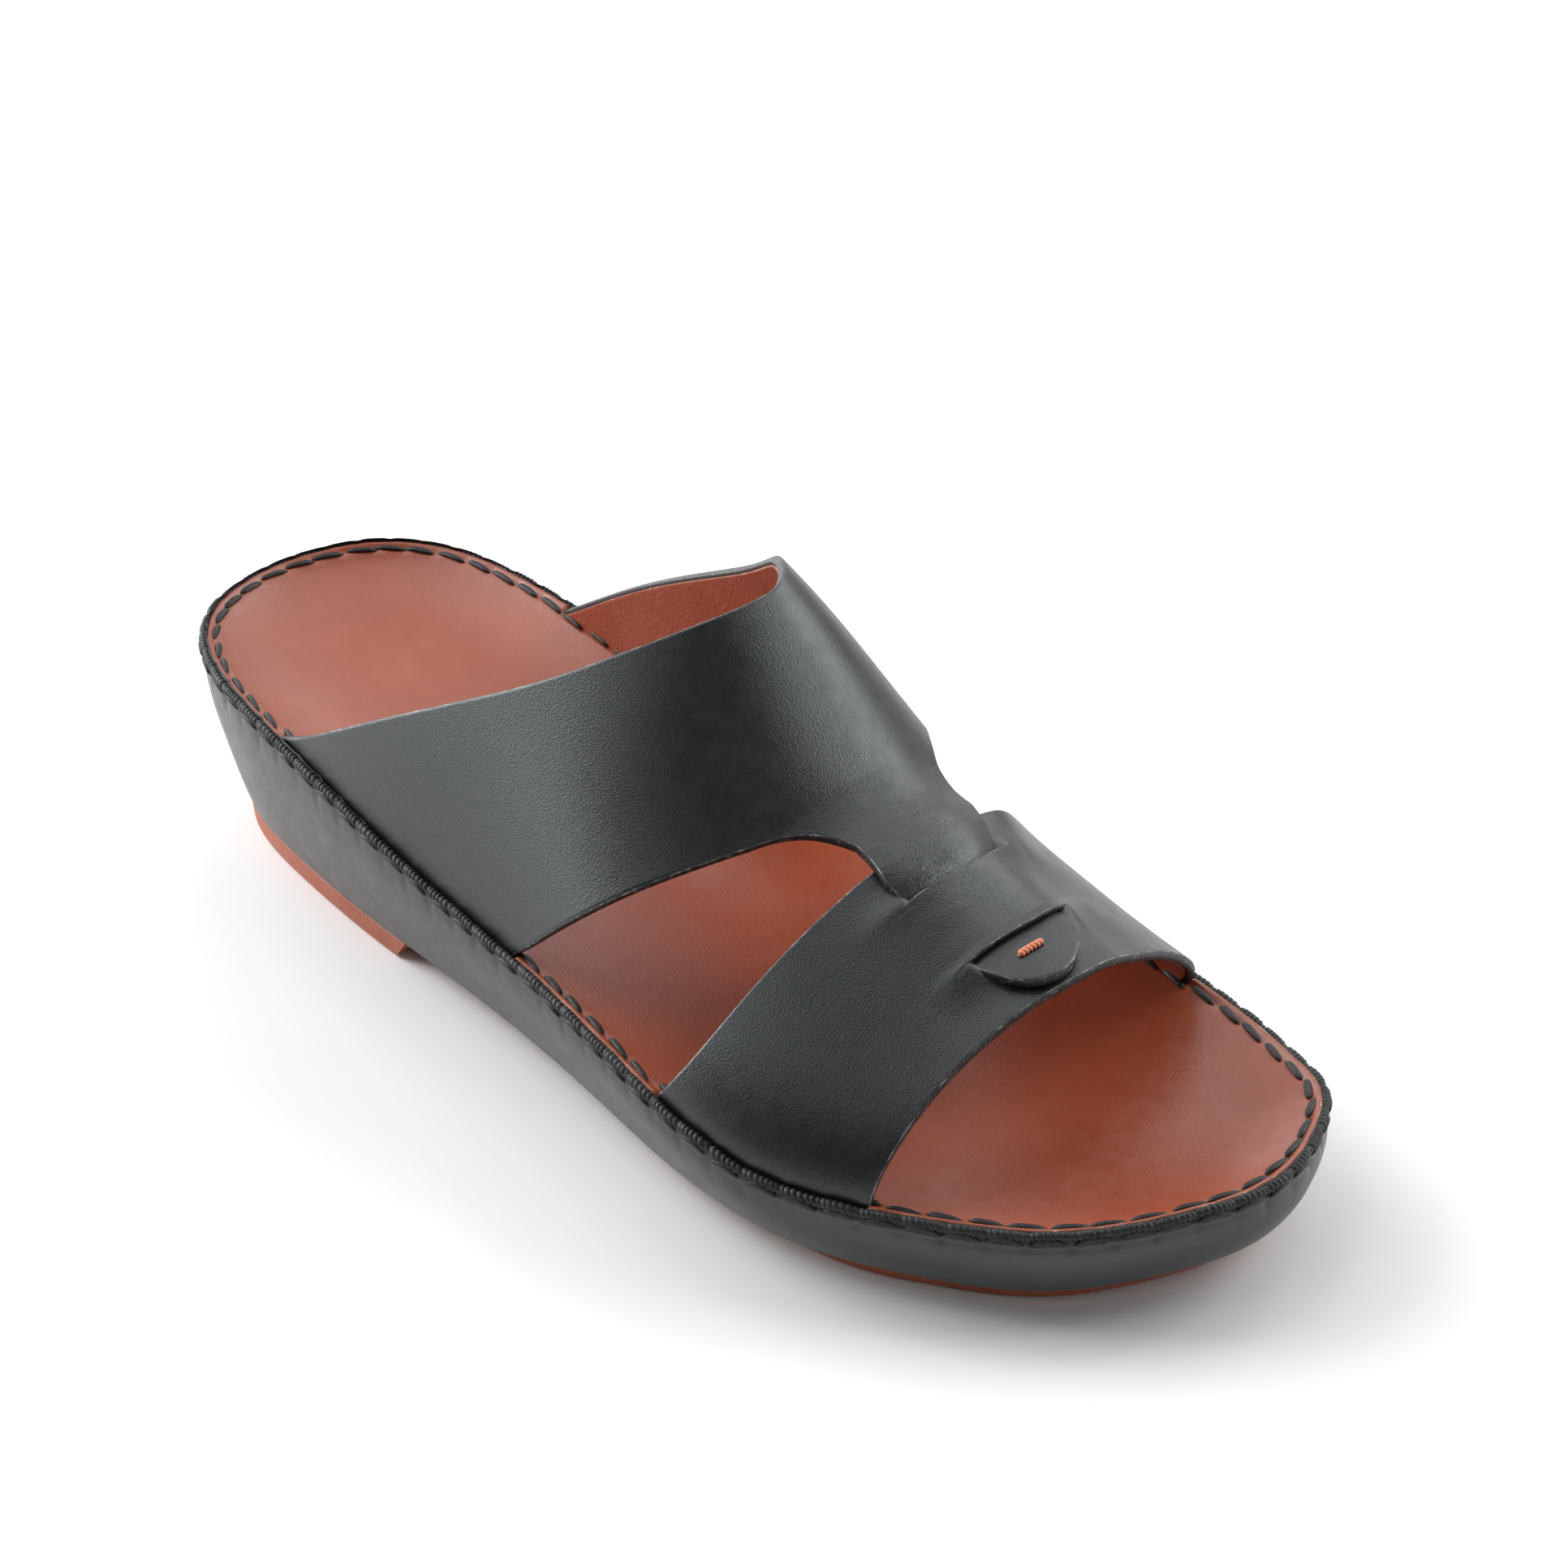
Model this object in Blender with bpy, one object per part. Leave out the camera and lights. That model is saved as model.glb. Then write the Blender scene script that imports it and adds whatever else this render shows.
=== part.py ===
"""Right sandal: black leather straps and padded wall, tan leather footbed and sole.

The shoe stands on its sole with the toe along +X and +Z up. Sizes are in millimetres and are turned
into metres when a mesh is made. Angles around the foot run from 0 at the right rim, over the instep,
to 180 at the left rim.
"""
import math

import bmesh
import bpy
import numpy as np

MM = 0.001
GAP = 0.3

# Driving sizes of the shoe
LENGTH = 287.6
HEEL_X = -142.5
BALL_WIDTH = 115.4
HEEL_HEIGHT = 45.0
INSTEP_HEIGHT = 92.6
LEATHER = 2.4

# Sole and rim
SOLE_THICK = 3.0
HEEL_LIFT = 5.5
HEEL_BREAST = (-53.5, -49.0)
HEEL_INSET = (8.8, 9.4)
TREAD = (48.0, 114.0)
TREAD_LIFT = {"waist": 2.5, "toe": 2.0}
PLATFORM_LIFT = {"heel": 0.8, "waist": 1.7, "fore": (55.0, 95.0)}
WALL_TUCK = 8.2
WALL_TOP_INSET = 0.5
SOLE_INSET = (10.0, 11.5)
SOLE_WAIST = {"inset": 4.5, "x": (55.0, 100.0)}
SOLE_TOE = {"inset": 2.5, "x": (112.0, 145.0)}
ROLL_RADIUS = 1.55
ROLL_INSET = 1.6
ROLL_SIDES = 8
RIM_INSET = 3.5
RIM_STEP = 0.5
SLOT_ROOM = 1.0
FOOTBED_THICK = 2.7
DISH_POWER = 2.8
DISH_END = 0.3 * BALL_WIDTH
ARCH = {"x": -20.0, "length": 34.0, "rise": 2.5, "across": 0.45}

# Sections of the sole: station along the length, then centre line in millimetres, half width as a
# share of half the ball width, rim height as a share of the heel height, depth of the footbed's dish
SECTIONS = (
    # station, centre, half_width, rim, dish
    (0.018, 2.0, 0.368, 0.998, 6.0),
    (0.070, 1.0, 0.609, 0.987, 6.5),
    (0.175, -1.0, 0.731, 0.940, 7.0),
    (0.263, -2.8, 0.763, 0.878, 6.5),
    (0.351, -4.7, 0.767, 0.778, 5.5),
    (0.439, -5.1, 0.792, 0.705, 5.0),
    (0.526, -4.9, 0.852, 0.676, 5.0),
    (0.614, -4.5, 0.939, 0.647, 5.5),
    (0.702, -3.7, 1.000, 0.568, 5.5),
    (0.754, -2.5, 0.990, 0.497, 5.0),
    (0.807, -0.2, 0.935, 0.462, 4.5),
    (0.860, 2.6, 0.842, 0.458, 4.0),
    (0.912, 5.0, 0.722, 0.468, 4.0),
    (0.954, 7.4, 0.566, 0.490, 4.0),
    (0.986, 8.4, 0.295, 0.513, 4.0),
)

# Profile of the padded wall from its top edge to the sole: share of height, share of the tuck
WALL_PROFILE = ((0.0, 0.0), (0.25, 0.09), (0.5, 0.32), (0.72, 0.57), (0.88, 0.79), (1.0, 1.0))

# Last under the straps: place along the shoe, crest height as a share of the instep height, crest's
# sideways place, and the fullness of the section on its right and left (2 is an ellipse)
LAST = (
    # x, crest, crest_y, full_right, full_left
    (-90.0, 1.24, 9.0, 1.75, 1.81),
    (-40.0, 1.22, 9.0, 1.75, 1.81),
    (-15.0, 1.142, 9.0, 1.75, 1.81),
    (10.0, 1.00, 9.0, 1.75, 1.81),
    (25.0, 0.856, 8.2, 1.75, 1.78),
    (40.0, 0.716, 6.6, 1.75, 1.70),
    (55.0, 0.643, 5.2, 1.75, 1.61),
    (70.0, 0.595, 4.4, 1.75, 1.56),
    (90.0, 0.545, 4.2, 1.75, 1.56),
    (112.0, 0.531, 4.0, 1.75, 1.56),
)

# Edges of the front strap by angle around the foot
FRONT_STRAP = (
    # angle, rear_x, front_x
    (0.0, 50.5, 95.0),
    (20.0, 55.6, 96.3),
    (45.0, 57.5, 97.6),
    (70.0, 57.0, 99.3),
    (90.0, 56.5, 100.7),
    (110.0, 55.0, 99.2),
    (135.0, 52.0, 94.2),
    (160.0, 49.0, 89.5),
    (180.0, 46.5, 85.5),
)

# Rear edge of the rear strap by angle, and its front edge on each side up to the neck's root
REAR_EDGE = (
    # angle, x
    (0.0, -83.5),
    (20.0, -51.0),
    (40.0, -18.0),
    (60.0, 1.0),
    (80.0, 8.6),
    (100.0, 7.0),
    (120.0, -3.8),
    (140.0, -20.5),
    (160.0, -51.5),
    (180.0, -85.0),
)
REAR_FRONT = (
    # angle_from_rim, right_x, left_x
    (0.0, 0.0, -1.0),
    (20.0, 17.6, 16.5),
    (38.0, 29.0, 27.5),
    (50.0, 34.6, 34.0),
)

# Neck strip: it leaves the rear strap, crosses the front strap's margin and dives under its bridge
NECK_HALF = 14.2
NECK_START = 37.8
NECK_FLARE = {"right": (16.5, 5.8), "left": (5.2, 8.0)}
NECK_AXIS = ((38.0, 7.0), (51.0, 7.2), (61.0, 4.6), (84.0, 4.4))
NECK_LIFT = 2.3
NECK_CLIMB = {"x": (48.0, 57.0), "angles": (30.0, 150.0)}
NECK_ROOT = {"back": 4.0, "rear_angles": (66.0, 116.0)}
NECK_BURY = 0.5
NECK_CROWD = 1.3
BRIDGE = {"rear": 66.8, "front": 83.5, "half": 13.0, "fade": 5.0, "lift": 2.4, "bury": 1.2, "sink": 0.4}
BRIDGE_ACROSS = (0.0, 0.25, 0.5, 0.68, 0.85, 1.0)
NECK_END = BRIDGE["rear"] + 3.0
TAB = {"centre": (83.5, 4.5), "across": (-0.5, 13.8), "tip": (12.9, -3.6), "root": -0.22,
       "lift": (0.8, 2.4), "rise": 0.8, "bury": 0.6}

# Mesh resolution
OUTLINE_STEPS = 38
FINE_STEPS = 360
FOOTBED_RINGS = (0.0, 0.05, 0.13, 0.26, 0.44, 0.66, 0.86)
REAR_ROWS = 11
FRONT_ROWS = 7
FRONT_STEPS = 36
EDGE_STEPS = 11
NECK_COLUMNS = 6
BRIDGE_ROWS = 4
TAB_ROWS = 4
TAB_STEPS = 12
SLOT_STEPS = 14
NORMAL_RATIO = 8
NORMAL_STEP = {"x": 0.5, "angle": 0.4}

BLACK = (0.018, 0.020, 0.023, 1.0)
TAN = (0.36, 0.095, 0.045, 1.0)


def column(table, index):
    return np.array([row[index] for row in table], dtype=float)


def spline(knots, values):
    """Natural cubic through the knots, held level outside them."""
    knots = np.asarray(knots, dtype=float)
    values = np.asarray(values, dtype=float)
    count = len(knots)
    step = np.diff(knots)
    matrix = np.eye(count)
    right = np.zeros(count)
    for i in range(1, count - 1):
        matrix[i, i - 1:i + 2] = step[i - 1], 2.0 * (step[i - 1] + step[i]), step[i]
        right[i] = 6.0 * ((values[i + 1] - values[i]) / step[i] - (values[i] - values[i - 1]) / step[i - 1])
    bend = np.linalg.solve(matrix, right)

    def curve(at):
        at = np.clip(np.asarray(at, dtype=float), knots[0], knots[-1])
        i = np.clip(np.searchsorted(knots, at) - 1, 0, count - 2)
        a = (knots[i + 1] - at) / step[i]
        b = 1.0 - a
        sag = ((a ** 3 - a) * bend[i] + (b ** 3 - b) * bend[i + 1]) * step[i] ** 2 / 6.0
        return a * values[i] + b * values[i + 1] + sag

    return curve


def ease(value):
    value = np.clip(value, 0.0, 1.0)
    return value * value * (3.0 - 2.0 * value)


# Plan outline: stations follow a half turn, so that heel and toe come out round
STATION_TURN = np.arccos(1.0 - 2.0 * column(SECTIONS, 0))
BREADTH = spline(STATION_TURN, column(SECTIONS, 2) * BALL_WIDTH / 2.0 / np.sin(STATION_TURN))
CENTRE = spline(STATION_TURN, column(SECTIONS, 1))
SECTION_X = HEEL_X + column(SECTIONS, 0) * LENGTH
RIM = spline(SECTION_X, column(SECTIONS, 3) * HEEL_HEIGHT)
DISH = spline(SECTION_X, column(SECTIONS, 4))
CREST = spline(column(LAST, 0), column(LAST, 1) * INSTEP_HEIGHT)
CREST_Y = spline(column(LAST, 0), column(LAST, 2))
FULL_RIGHT = spline(column(LAST, 0), column(LAST, 3))
FULL_LEFT = spline(column(LAST, 0), column(LAST, 4))


def side_points(turn, side):
    """Plan points of one side, side -1 right and +1 left."""
    x = HEEL_X + LENGTH / 2.0 * (1.0 - np.cos(turn))
    y = CENTRE(turn) + side * BREADTH(turn) * np.sin(turn)
    return np.stack([x, y], axis=-1)


def outline(steps):
    """Closed plan loop: heel to toe along the right side, then back along the left."""
    turn = np.linspace(0.0, math.pi, steps + 1)
    return np.concatenate([side_points(turn, -1), side_points(turn, 1)[-2:0:-1]])


# The shoe's origin is the middle of its outline, on the floor
OUTLINE_BOX = np.array([outline(FINE_STEPS).min(axis=0), outline(FINE_STEPS).max(axis=0)])
ORIGIN = np.append(OUTLINE_BOX.mean(axis=0), 0.0)


def inward(steps):
    """Inward normals at the points of outline(steps), read from a finer loop."""
    fine = outline(steps * NORMAL_RATIO)
    along = np.roll(fine, -1, axis=0) - np.roll(fine, 1, axis=0)
    along /= np.linalg.norm(along, axis=1)[:, None]
    return np.stack([-along[:, 1], along[:, 0]], axis=-1)[::NORMAL_RATIO]


def inset_loop(distance, steps=OUTLINE_STEPS):
    """Outline moved inwards by a distance, which may differ from point to point."""
    return outline(steps) + inward(steps) * np.reshape(distance, (-1, 1))


def half_loops(distance):
    """Right and left halves of a finely stepped inset outline, both from heel to toe."""
    fine = inset_loop(distance, FINE_STEPS)
    return fine[:FINE_STEPS + 1], fine[np.r_[0, 2 * FINE_STEPS - 1:FINE_STEPS - 1:-1]]


def tread_height(x):
    """Underside of the sole: flat over the tread, lifted at the waist and the toe."""
    waist = TREAD_LIFT["waist"] * ease((TREAD[0] - x) / (TREAD[0] - HEEL_BREAST[1]))
    toe = TREAD_LIFT["toe"] * ease((x - TREAD[1]) / (HEEL_X + LENGTH - TREAD[1]))
    return waist + toe


def base_height(x):
    """Underside of the padded platform, which rises over the waist and again over the heel."""
    start, end = PLATFORM_LIFT["fore"]
    waist = PLATFORM_LIFT["waist"] * ease((end - x) / (end - start))
    heel = PLATFORM_LIFT["heel"] * ease((HEEL_BREAST[1] + BALL_WIDTH / 2.0 - x) / (BALL_WIDTH / 2.0))
    toe = TREAD_LIFT["toe"] * ease((x - TREAD[1]) / (HEEL_X + LENGTH - TREAD[1]))
    return SOLE_THICK + GAP + waist + heel + toe


def dish_ring(share):
    """Ring of the footbed's top, from its edge (0) towards the middle of the foot (1)."""
    edge = inset_loop(RIM_INSET)
    turn = np.linspace(0.0, math.pi, OUTLINE_STEPS + 1)
    middle_y = CENTRE(np.concatenate([turn, turn[-2:0:-1]]))
    middle_x = np.clip(edge[:, 0], HEEL_X + DISH_END, HEEL_X + LENGTH - DISH_END)
    x = edge[:, 0] + (middle_x - edge[:, 0]) * share
    y = edge[:, 1] + (middle_y - edge[:, 1]) * share
    drop = RIM_STEP + DISH(x) * (1.0 - (1.0 - share) ** DISH_POWER)
    left = (edge[:, 1] > middle_y) * ease(share / ARCH["across"]) * ease((1.0 - share) / ARCH["across"])
    rise = ARCH["rise"] * left * np.exp(-((x - ARCH["x"]) / ARCH["length"]) ** 2)
    return np.column_stack([x, y, RIM(x) - drop + rise])


# Mesh helpers
def material(name, colour, roughness):
    made = bpy.data.materials.new(name)
    made.use_nodes = True
    shader = made.node_tree.nodes["Principled BSDF"]
    shader.inputs["Base Color"].default_value = colour
    shader.inputs["Roughness"].default_value = roughness
    shader.inputs["Metallic"].default_value = 0.0
    made.diffuse_color = colour
    return made


def solid(name, points, faces, finish, sharp_deg=40.0):
    """Closed mesh object from points in millimetres, with its faces turned outwards."""
    mesh = bpy.data.meshes.new(name)
    mesh.from_pydata([tuple(p) for p in (np.asarray(points) - ORIGIN) * MM], [], faces)
    work = bmesh.new()
    work.from_mesh(mesh)
    bmesh.ops.triangulate(work, faces=work.faces[:])
    bmesh.ops.recalc_face_normals(work, faces=work.faces[:])
    work.to_mesh(mesh)
    work.free()
    mesh.shade_smooth()
    mesh.set_sharp_from_angle(angle=math.radians(sharp_deg))
    mesh.materials.append(finish)
    made = bpy.data.objects.new(name, mesh)
    bpy.context.scene.collection.objects.link(made)
    return made


def operand(made):
    """Mark an object as a helper of a Boolean, which is not a piece of the shoe."""
    made.hide_render = True
    made.display_type = "WIRE"
    return made


def combine(target, helper, operation):
    step = target.modifiers.new(f"{operation.lower()}_{helper.name}", "BOOLEAN")
    step.operation = operation
    step.solver = "EXACT"
    step.object = operand(helper)


def lace_across(ring_start, count, flip):
    """Faces that close a loop by joining each right point to its left twin."""
    def at(i):
        return ring_start + i % count

    half = count // 2
    faces = [(at(0), at(1), at(-1)), (at(half), at(half + 1), at(half - 1))]
    faces += [(at(i), at(i + 1), at(-i - 1), at(-i)) for i in range(1, half - 1)]
    return [face[::-1] for face in faces] if flip else faces


def stack(name, rings, finish, sharp_deg=40.0):
    """Solid skinned through loops of equal count, closed across its first and last loop."""
    count = len(rings[0])
    faces = []
    for level in range(len(rings) - 1):
        low = level * count
        for i in range(count):
            j = (i + 1) % count
            faces.append((low + i, low + j, low + count + j, low + count + i))
    faces += lace_across(0, count, True)
    faces += lace_across((len(rings) - 1) * count, count, False)
    return solid(name, np.concatenate(rings), faces, finish, sharp_deg)


def sheet(name, outer, inner, finish):
    """Solid between two grids of points of equal shape, rows by columns."""
    rows, cols = outer.shape[:2]
    size = rows * cols

    def at(layer, r, c):
        return layer * size + r * cols + c

    faces = []
    for layer in (0, 1):
        for r in range(rows - 1):
            for c in range(cols - 1):
                quad = (at(layer, r, c), at(layer, r, c + 1), at(layer, r + 1, c + 1), at(layer, r + 1, c))
                faces.append(quad if layer else quad[::-1])
    border = [(0, c) for c in range(cols)] + [(r, cols - 1) for r in range(1, rows)]
    border += [(rows - 1, c) for c in range(cols - 2, -1, -1)] + [(r, 0) for r in range(rows - 2, 0, -1)]
    for (r0, c0), (r1, c1) in zip(border, border[1:] + border[:1]):
        faces.append((at(0, r0, c0), at(0, r1, c1), at(1, r1, c1), at(1, r0, c0)))
    points = np.concatenate([outer.reshape(-1, 3), inner.reshape(-1, 3)])
    return solid(name, points, faces, finish)


def level_ring(plan, height):
    return np.column_stack([plan, np.broadcast_to(height, len(plan))])


# Sole pieces
def make_midsole(finish):
    """Padded platform: underside, wall up to the ledge under the roll, and dished top."""
    rings = []
    foot = inset_loop(WALL_TOP_INSET + WALL_TUCK)
    for share, tuck in reversed(WALL_PROFILE):
        plan = inset_loop(WALL_TOP_INSET + tuck * WALL_TUCK)
        top = RIM(plan[:, 0]) - RIM_STEP - FOOTBED_THICK - GAP
        base = base_height(foot[:, 0])
        rings.append(level_ring(plan, top + (base - top) * share))
    for share in FOOTBED_RINGS:
        rings.append(dish_ring(share) - (0.0, 0.0, FOOTBED_THICK + GAP))
    return stack("midsole", rings, finish)


def make_footbed(finish):
    tops = [dish_ring(share) for share in FOOTBED_RINGS]
    bottoms = [ring - (0.0, 0.0, FOOTBED_THICK) for ring in tops]
    return stack("footbed", bottoms[::-1] + tops, finish)


def make_roll(finish):
    """Rolled rim: a round bead that follows the outline just under the rim's height."""
    rings = []
    for k in range(ROLL_SIDES):
        turn = 2.0 * math.pi * k / ROLL_SIDES
        plan = inset_loop(ROLL_INSET + ROLL_RADIUS * math.cos(turn))
        rings.append(level_ring(plan, RIM(plan[:, 0]) - ROLL_INSET + ROLL_RADIUS * math.sin(turn)))
    count = len(rings[0])
    faces = []
    for k in range(ROLL_SIDES):
        low, high = k * count, (k + 1) % ROLL_SIDES * count
        faces += [(low + i, low + (i + 1) % count, high + (i + 1) % count, high + i) for i in range(count)]
    return solid("edge_roll", np.concatenate(rings), faces, finish, 180.0)


def part_loop(distance, start_x, end_x):
    """Closed loop of the stretch of an inset outline between two places along the shoe."""
    right, left = half_loops(distance)
    low = max(start_x, right[0, 0])
    high = min(end_x, right[-1, 0])
    middle, reach = 0.5 * (low + high), 0.5 * (high - low)
    x = middle - reach * np.cos(np.linspace(0.0, math.pi, OUTLINE_STEPS // 2 + 1))
    sides = [np.column_stack([x, np.interp(x, side[:, 0], side[:, 1])]) for side in (right, left)]
    if low > right[0, 0]:
        return np.concatenate([sides[0], sides[1][-2::-1]])
    if high < right[-1, 0]:
        return np.concatenate([sides[0], sides[1][:0:-1]])
    return np.concatenate([sides[0], sides[1][-2:0:-1]])


def plate(name, lower, upper, finish):
    """Plate between two loops of equal count, each capped by one flat or gently bent face."""
    count = len(lower)
    faces = [(i, (i + 1) % count, count + (i + 1) % count, count + i) for i in range(count)]
    half = count // 2
    for start, flip in ((0, True), (count, False)):
        strip = [(start + i, start + i + 1, start + count - 2 - i, start + count - 1 - i)
                 for i in range(half - 1)]
        if count % 2:
            strip.append((start + half - 1, start + half, start + half + 1))
        faces += [face[::-1] for face in strip] if flip else strip
    return solid(name, np.concatenate([lower, upper]), faces, finish)


def make_outsole(finish):
    """Thin sole from the heel's breast to the toe: flat tread, lifted waist, a little toe spring."""
    x = outline(FINE_STEPS)[:, 0]
    start, end = SOLE_WAIST["x"]
    waist = SOLE_WAIST["inset"] * ease((end - x) / (end - start))
    start, end = SOLE_TOE["x"]
    toe = SOLE_TOE["inset"] * ease((x - start) / (end - start))
    rear = HEEL_BREAST[1] + GAP
    upper = part_loop(SOLE_INSET[0] + waist + toe, rear, HEEL_X + LENGTH)
    lower = part_loop(SOLE_INSET[1] + waist + toe, rear, HEEL_X + LENGTH)
    return plate("outsole", level_ring(lower, tread_height(lower[:, 0])),
                 level_ring(upper, base_height(upper[:, 0]) - GAP), finish)


def make_heel_lift(finish):
    rings = []
    for inset, breast, height in ((HEEL_INSET[1], HEEL_BREAST[0], 0.0),
                                  (HEEL_INSET[0], HEEL_BREAST[1], HEEL_LIFT)):
        rings.append(level_ring(part_loop(inset, HEEL_X, breast), height))
    return plate("heel_lift", rings[0], rings[1], finish)


# Upper
RIGHT_BASE, LEFT_BASE = half_loops(RIM_INSET)


def section_frame(x):
    """Ends, crest and fullness of the last's section at a place along the shoe."""
    right = np.interp(x, RIGHT_BASE[:, 0], RIGHT_BASE[:, 1])
    left = np.interp(x, LEFT_BASE[:, 0], LEFT_BASE[:, 1])
    return right, left, CREST_Y(x), RIM(x), CREST(x), FULL_RIGHT(x), FULL_LEFT(x)


def last_point(x, angle_deg):
    """Outer face of the straps at a place along the shoe and an angle around the foot."""
    x, angle = np.broadcast_arrays(np.asarray(x, dtype=float), np.radians(angle_deg))
    right, left, crest_y, rim, crest, full_right, full_left = section_frame(x)
    is_right = np.cos(angle) > 0.0
    power = 2.0 / np.where(is_right, full_right, full_left)
    reach = np.where(is_right, right, left) - crest_y
    y = crest_y + reach * np.abs(np.cos(angle)) ** power
    z = rim + (crest - rim) * np.clip(np.sin(angle), 0.0, 1.0) ** power
    return np.stack([x, y, z], axis=-1)


def angle_at(x, y):
    """Angle around the foot of the point of the last at a plan place."""
    x = np.asarray(x, dtype=float)
    right, left, crest_y, _, _, full_right, full_left = section_frame(x)
    is_right = y < crest_y
    share = np.abs(y - crest_y) / np.abs(np.where(is_right, right, left) - crest_y)
    power = np.where(is_right, full_right, full_left) / 2.0
    turn = np.degrees(np.arccos(np.clip(share, 0.0, 1.0) ** power))
    return np.where(is_right, turn, 180.0 - turn)


def last_normal(x, angle_deg):
    """Outward normal of the last, by small steps along and around the foot."""
    step, turn = NORMAL_STEP["x"], NORMAL_STEP["angle"]
    angle = np.clip(angle_deg, turn, 180.0 - turn)
    along = last_point(x + step, angle) - last_point(x - step, angle)
    around = last_point(x, angle + turn) - last_point(x, angle - turn)
    normal = np.cross(along, around)
    return normal / np.linalg.norm(normal, axis=-1)[..., None]


def wall(x, angle, lift, bury):
    """Outer and inner grids of a piece of leather laid over the last, lifted off it and buried in it."""
    point = last_point(x, angle)
    normal = last_normal(x, angle)
    shape = x.shape + (1,)
    outer = point + normal * np.broadcast_to(lift, x.shape).reshape(shape)
    inner = point - normal * np.broadcast_to(bury, x.shape).reshape(shape)
    return outer, inner


def with_feet(grid):
    """Add the tucked foot below the rim at both ends of a strap's columns."""
    tuck = (0.0, 0.0, FOOTBED_THICK + RIM_STEP)
    first = grid[:, :1].copy()
    last = grid[:, -1:].copy()
    first[..., 2] = RIM(first[..., 0])
    last[..., 2] = RIM(last[..., 0])
    return np.concatenate([first - tuck, grid, last - tuck], axis=1)


def front_strap(finish):
    angle = np.linspace(0.0, 180.0, FRONT_STEPS + 1)
    rear = spline(column(FRONT_STRAP, 0), column(FRONT_STRAP, 1))(angle)
    front = spline(column(FRONT_STRAP, 0), column(FRONT_STRAP, 2))(angle)
    share = np.linspace(0.0, 1.0, FRONT_ROWS + 1)[:, None]
    x = rear + (front - rear) * share
    outer, inner = wall(x, np.broadcast_to(angle, x.shape), 0.0, LEATHER)
    return sheet("front_strap", with_feet(outer), with_feet(inner), finish)


def neck_half(x, side):
    rise, fall = NECK_FLARE[side]
    return NECK_HALF + rise * np.exp(-(x - NECK_START) / fall)


def neck_axis(x):
    return np.interp(x, column(NECK_AXIS, 0), column(NECK_AXIS, 1))


def rear_front_edge(side):
    """Front edge of the rear strap on one side: up from the rim, then along the neck to its end."""
    right = side == "right"
    turned = spline(column(REAR_FRONT, 0), column(REAR_FRONT, 1 if right else 2))
    rise = np.linspace(0.0, REAR_FRONT[-1][0], EDGE_STEPS)
    lower = np.column_stack([turned(rise), rise if right else 180.0 - rise])
    x = NECK_START + (NECK_END - NECK_START) * np.linspace(0.0, 1.0, EDGE_STEPS + 1) ** NECK_CROWD
    y = neck_axis(x) + (-1.0 if right else 1.0) * neck_half(x, side)
    return np.concatenate([lower, np.column_stack([x, angle_at(x, y)])])


def rear_strap(finish):
    """Rear strap with its neck: rows run from the rear edge to the front edge, columns across."""
    right = rear_front_edge("right")
    left = rear_front_edge("left")[::-1]
    across = np.linspace(right[-1, 1], left[0, 1], NECK_COLUMNS + 1)[1:-1]
    end = np.column_stack([np.full(len(across), NECK_END), across])
    front = np.concatenate([right, end, left])
    step = np.linalg.norm(np.diff(last_point(front[:, 0], front[:, 1]), axis=0), axis=1)
    run = np.concatenate([[0.0], np.cumsum(step)]) / step.sum()
    neck = np.flatnonzero(front[:, 0] > NECK_START - NECK_ROOT["back"])
    rear_angle = np.interp(run, [0.0, *run[neck[[0, -1]]], 1.0], [0.0, *NECK_ROOT["rear_angles"], 180.0])
    rear_x = spline(column(REAR_EDGE, 0), column(REAR_EDGE, 1))(rear_angle)
    share = np.linspace(0.0, 1.0, REAR_ROWS + 1)[:, None]
    x = rear_x + (front[:, 0] - rear_x) * share
    angle = rear_angle + (front[:, 1] - rear_angle) * share
    start, end = NECK_CLIMB["x"]
    low, high = NECK_CLIMB["angles"]
    climb = ease((x - start) / (end - start)) * (angle > low) * (angle < high)
    outer, inner = wall(x, angle, NECK_LIFT * climb, LEATHER + (NECK_BURY - LEATHER) * climb)
    return sheet("upper", with_feet(outer), with_feet(inner), finish)


def bridge(finish):
    """Raised stretch of the front strap between its two slots, with the strip underneath."""
    x = np.linspace(BRIDGE["rear"], BRIDGE["front"], BRIDGE_ROWS + 1)[:, None]
    reach = BRIDGE["half"] + BRIDGE["fade"]
    half = np.array(BRIDGE_ACROSS) * reach
    across = np.concatenate([-half[:0:-1], half])
    y = neck_axis(x) + across
    x = np.broadcast_to(x, y.shape)
    fade = ease((reach - np.abs(across)) / BRIDGE["fade"])
    lift = (BRIDGE["lift"] + BRIDGE["sink"]) * fade - BRIDGE["sink"]
    outer, inner = wall(x, angle_at(x, y), np.broadcast_to(lift, y.shape), BRIDGE["bury"])
    return sheet("bridge", outer, inner, finish)


def tab(finish):
    """Half-round end of the strip, which comes out of the second slot and lies on the strap."""
    across = -np.cos(np.linspace(0.0, math.pi, TAB_STEPS + 1))
    reach = np.sqrt(np.clip(1.0 - across ** 2, 0.0, 1.0))
    share = np.linspace(0.0, 1.0, TAB_ROWS + 1)[:, None]
    along = TAB["root"] + (reach - TAB["root"]) * share
    centre, side, tip = (np.array(TAB[key]) for key in ("centre", "across", "tip"))
    x = centre[0] + across * side[0] + along * tip[0]
    y = centre[1] + across * side[1] + along * tip[1]
    low, high = TAB["lift"]
    lift = low + (high - low) * ease(along / TAB["rise"])
    outer, inner = wall(x, angle_at(x, y), lift, TAB["bury"])
    return sheet("tab", outer, inner, finish)


def make_upper(finish):
    upper = rear_strap(finish)
    for helper in (front_strap(finish), bridge(finish), tab(finish)):
        combine(upper, helper, "UNION")
    return upper


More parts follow.
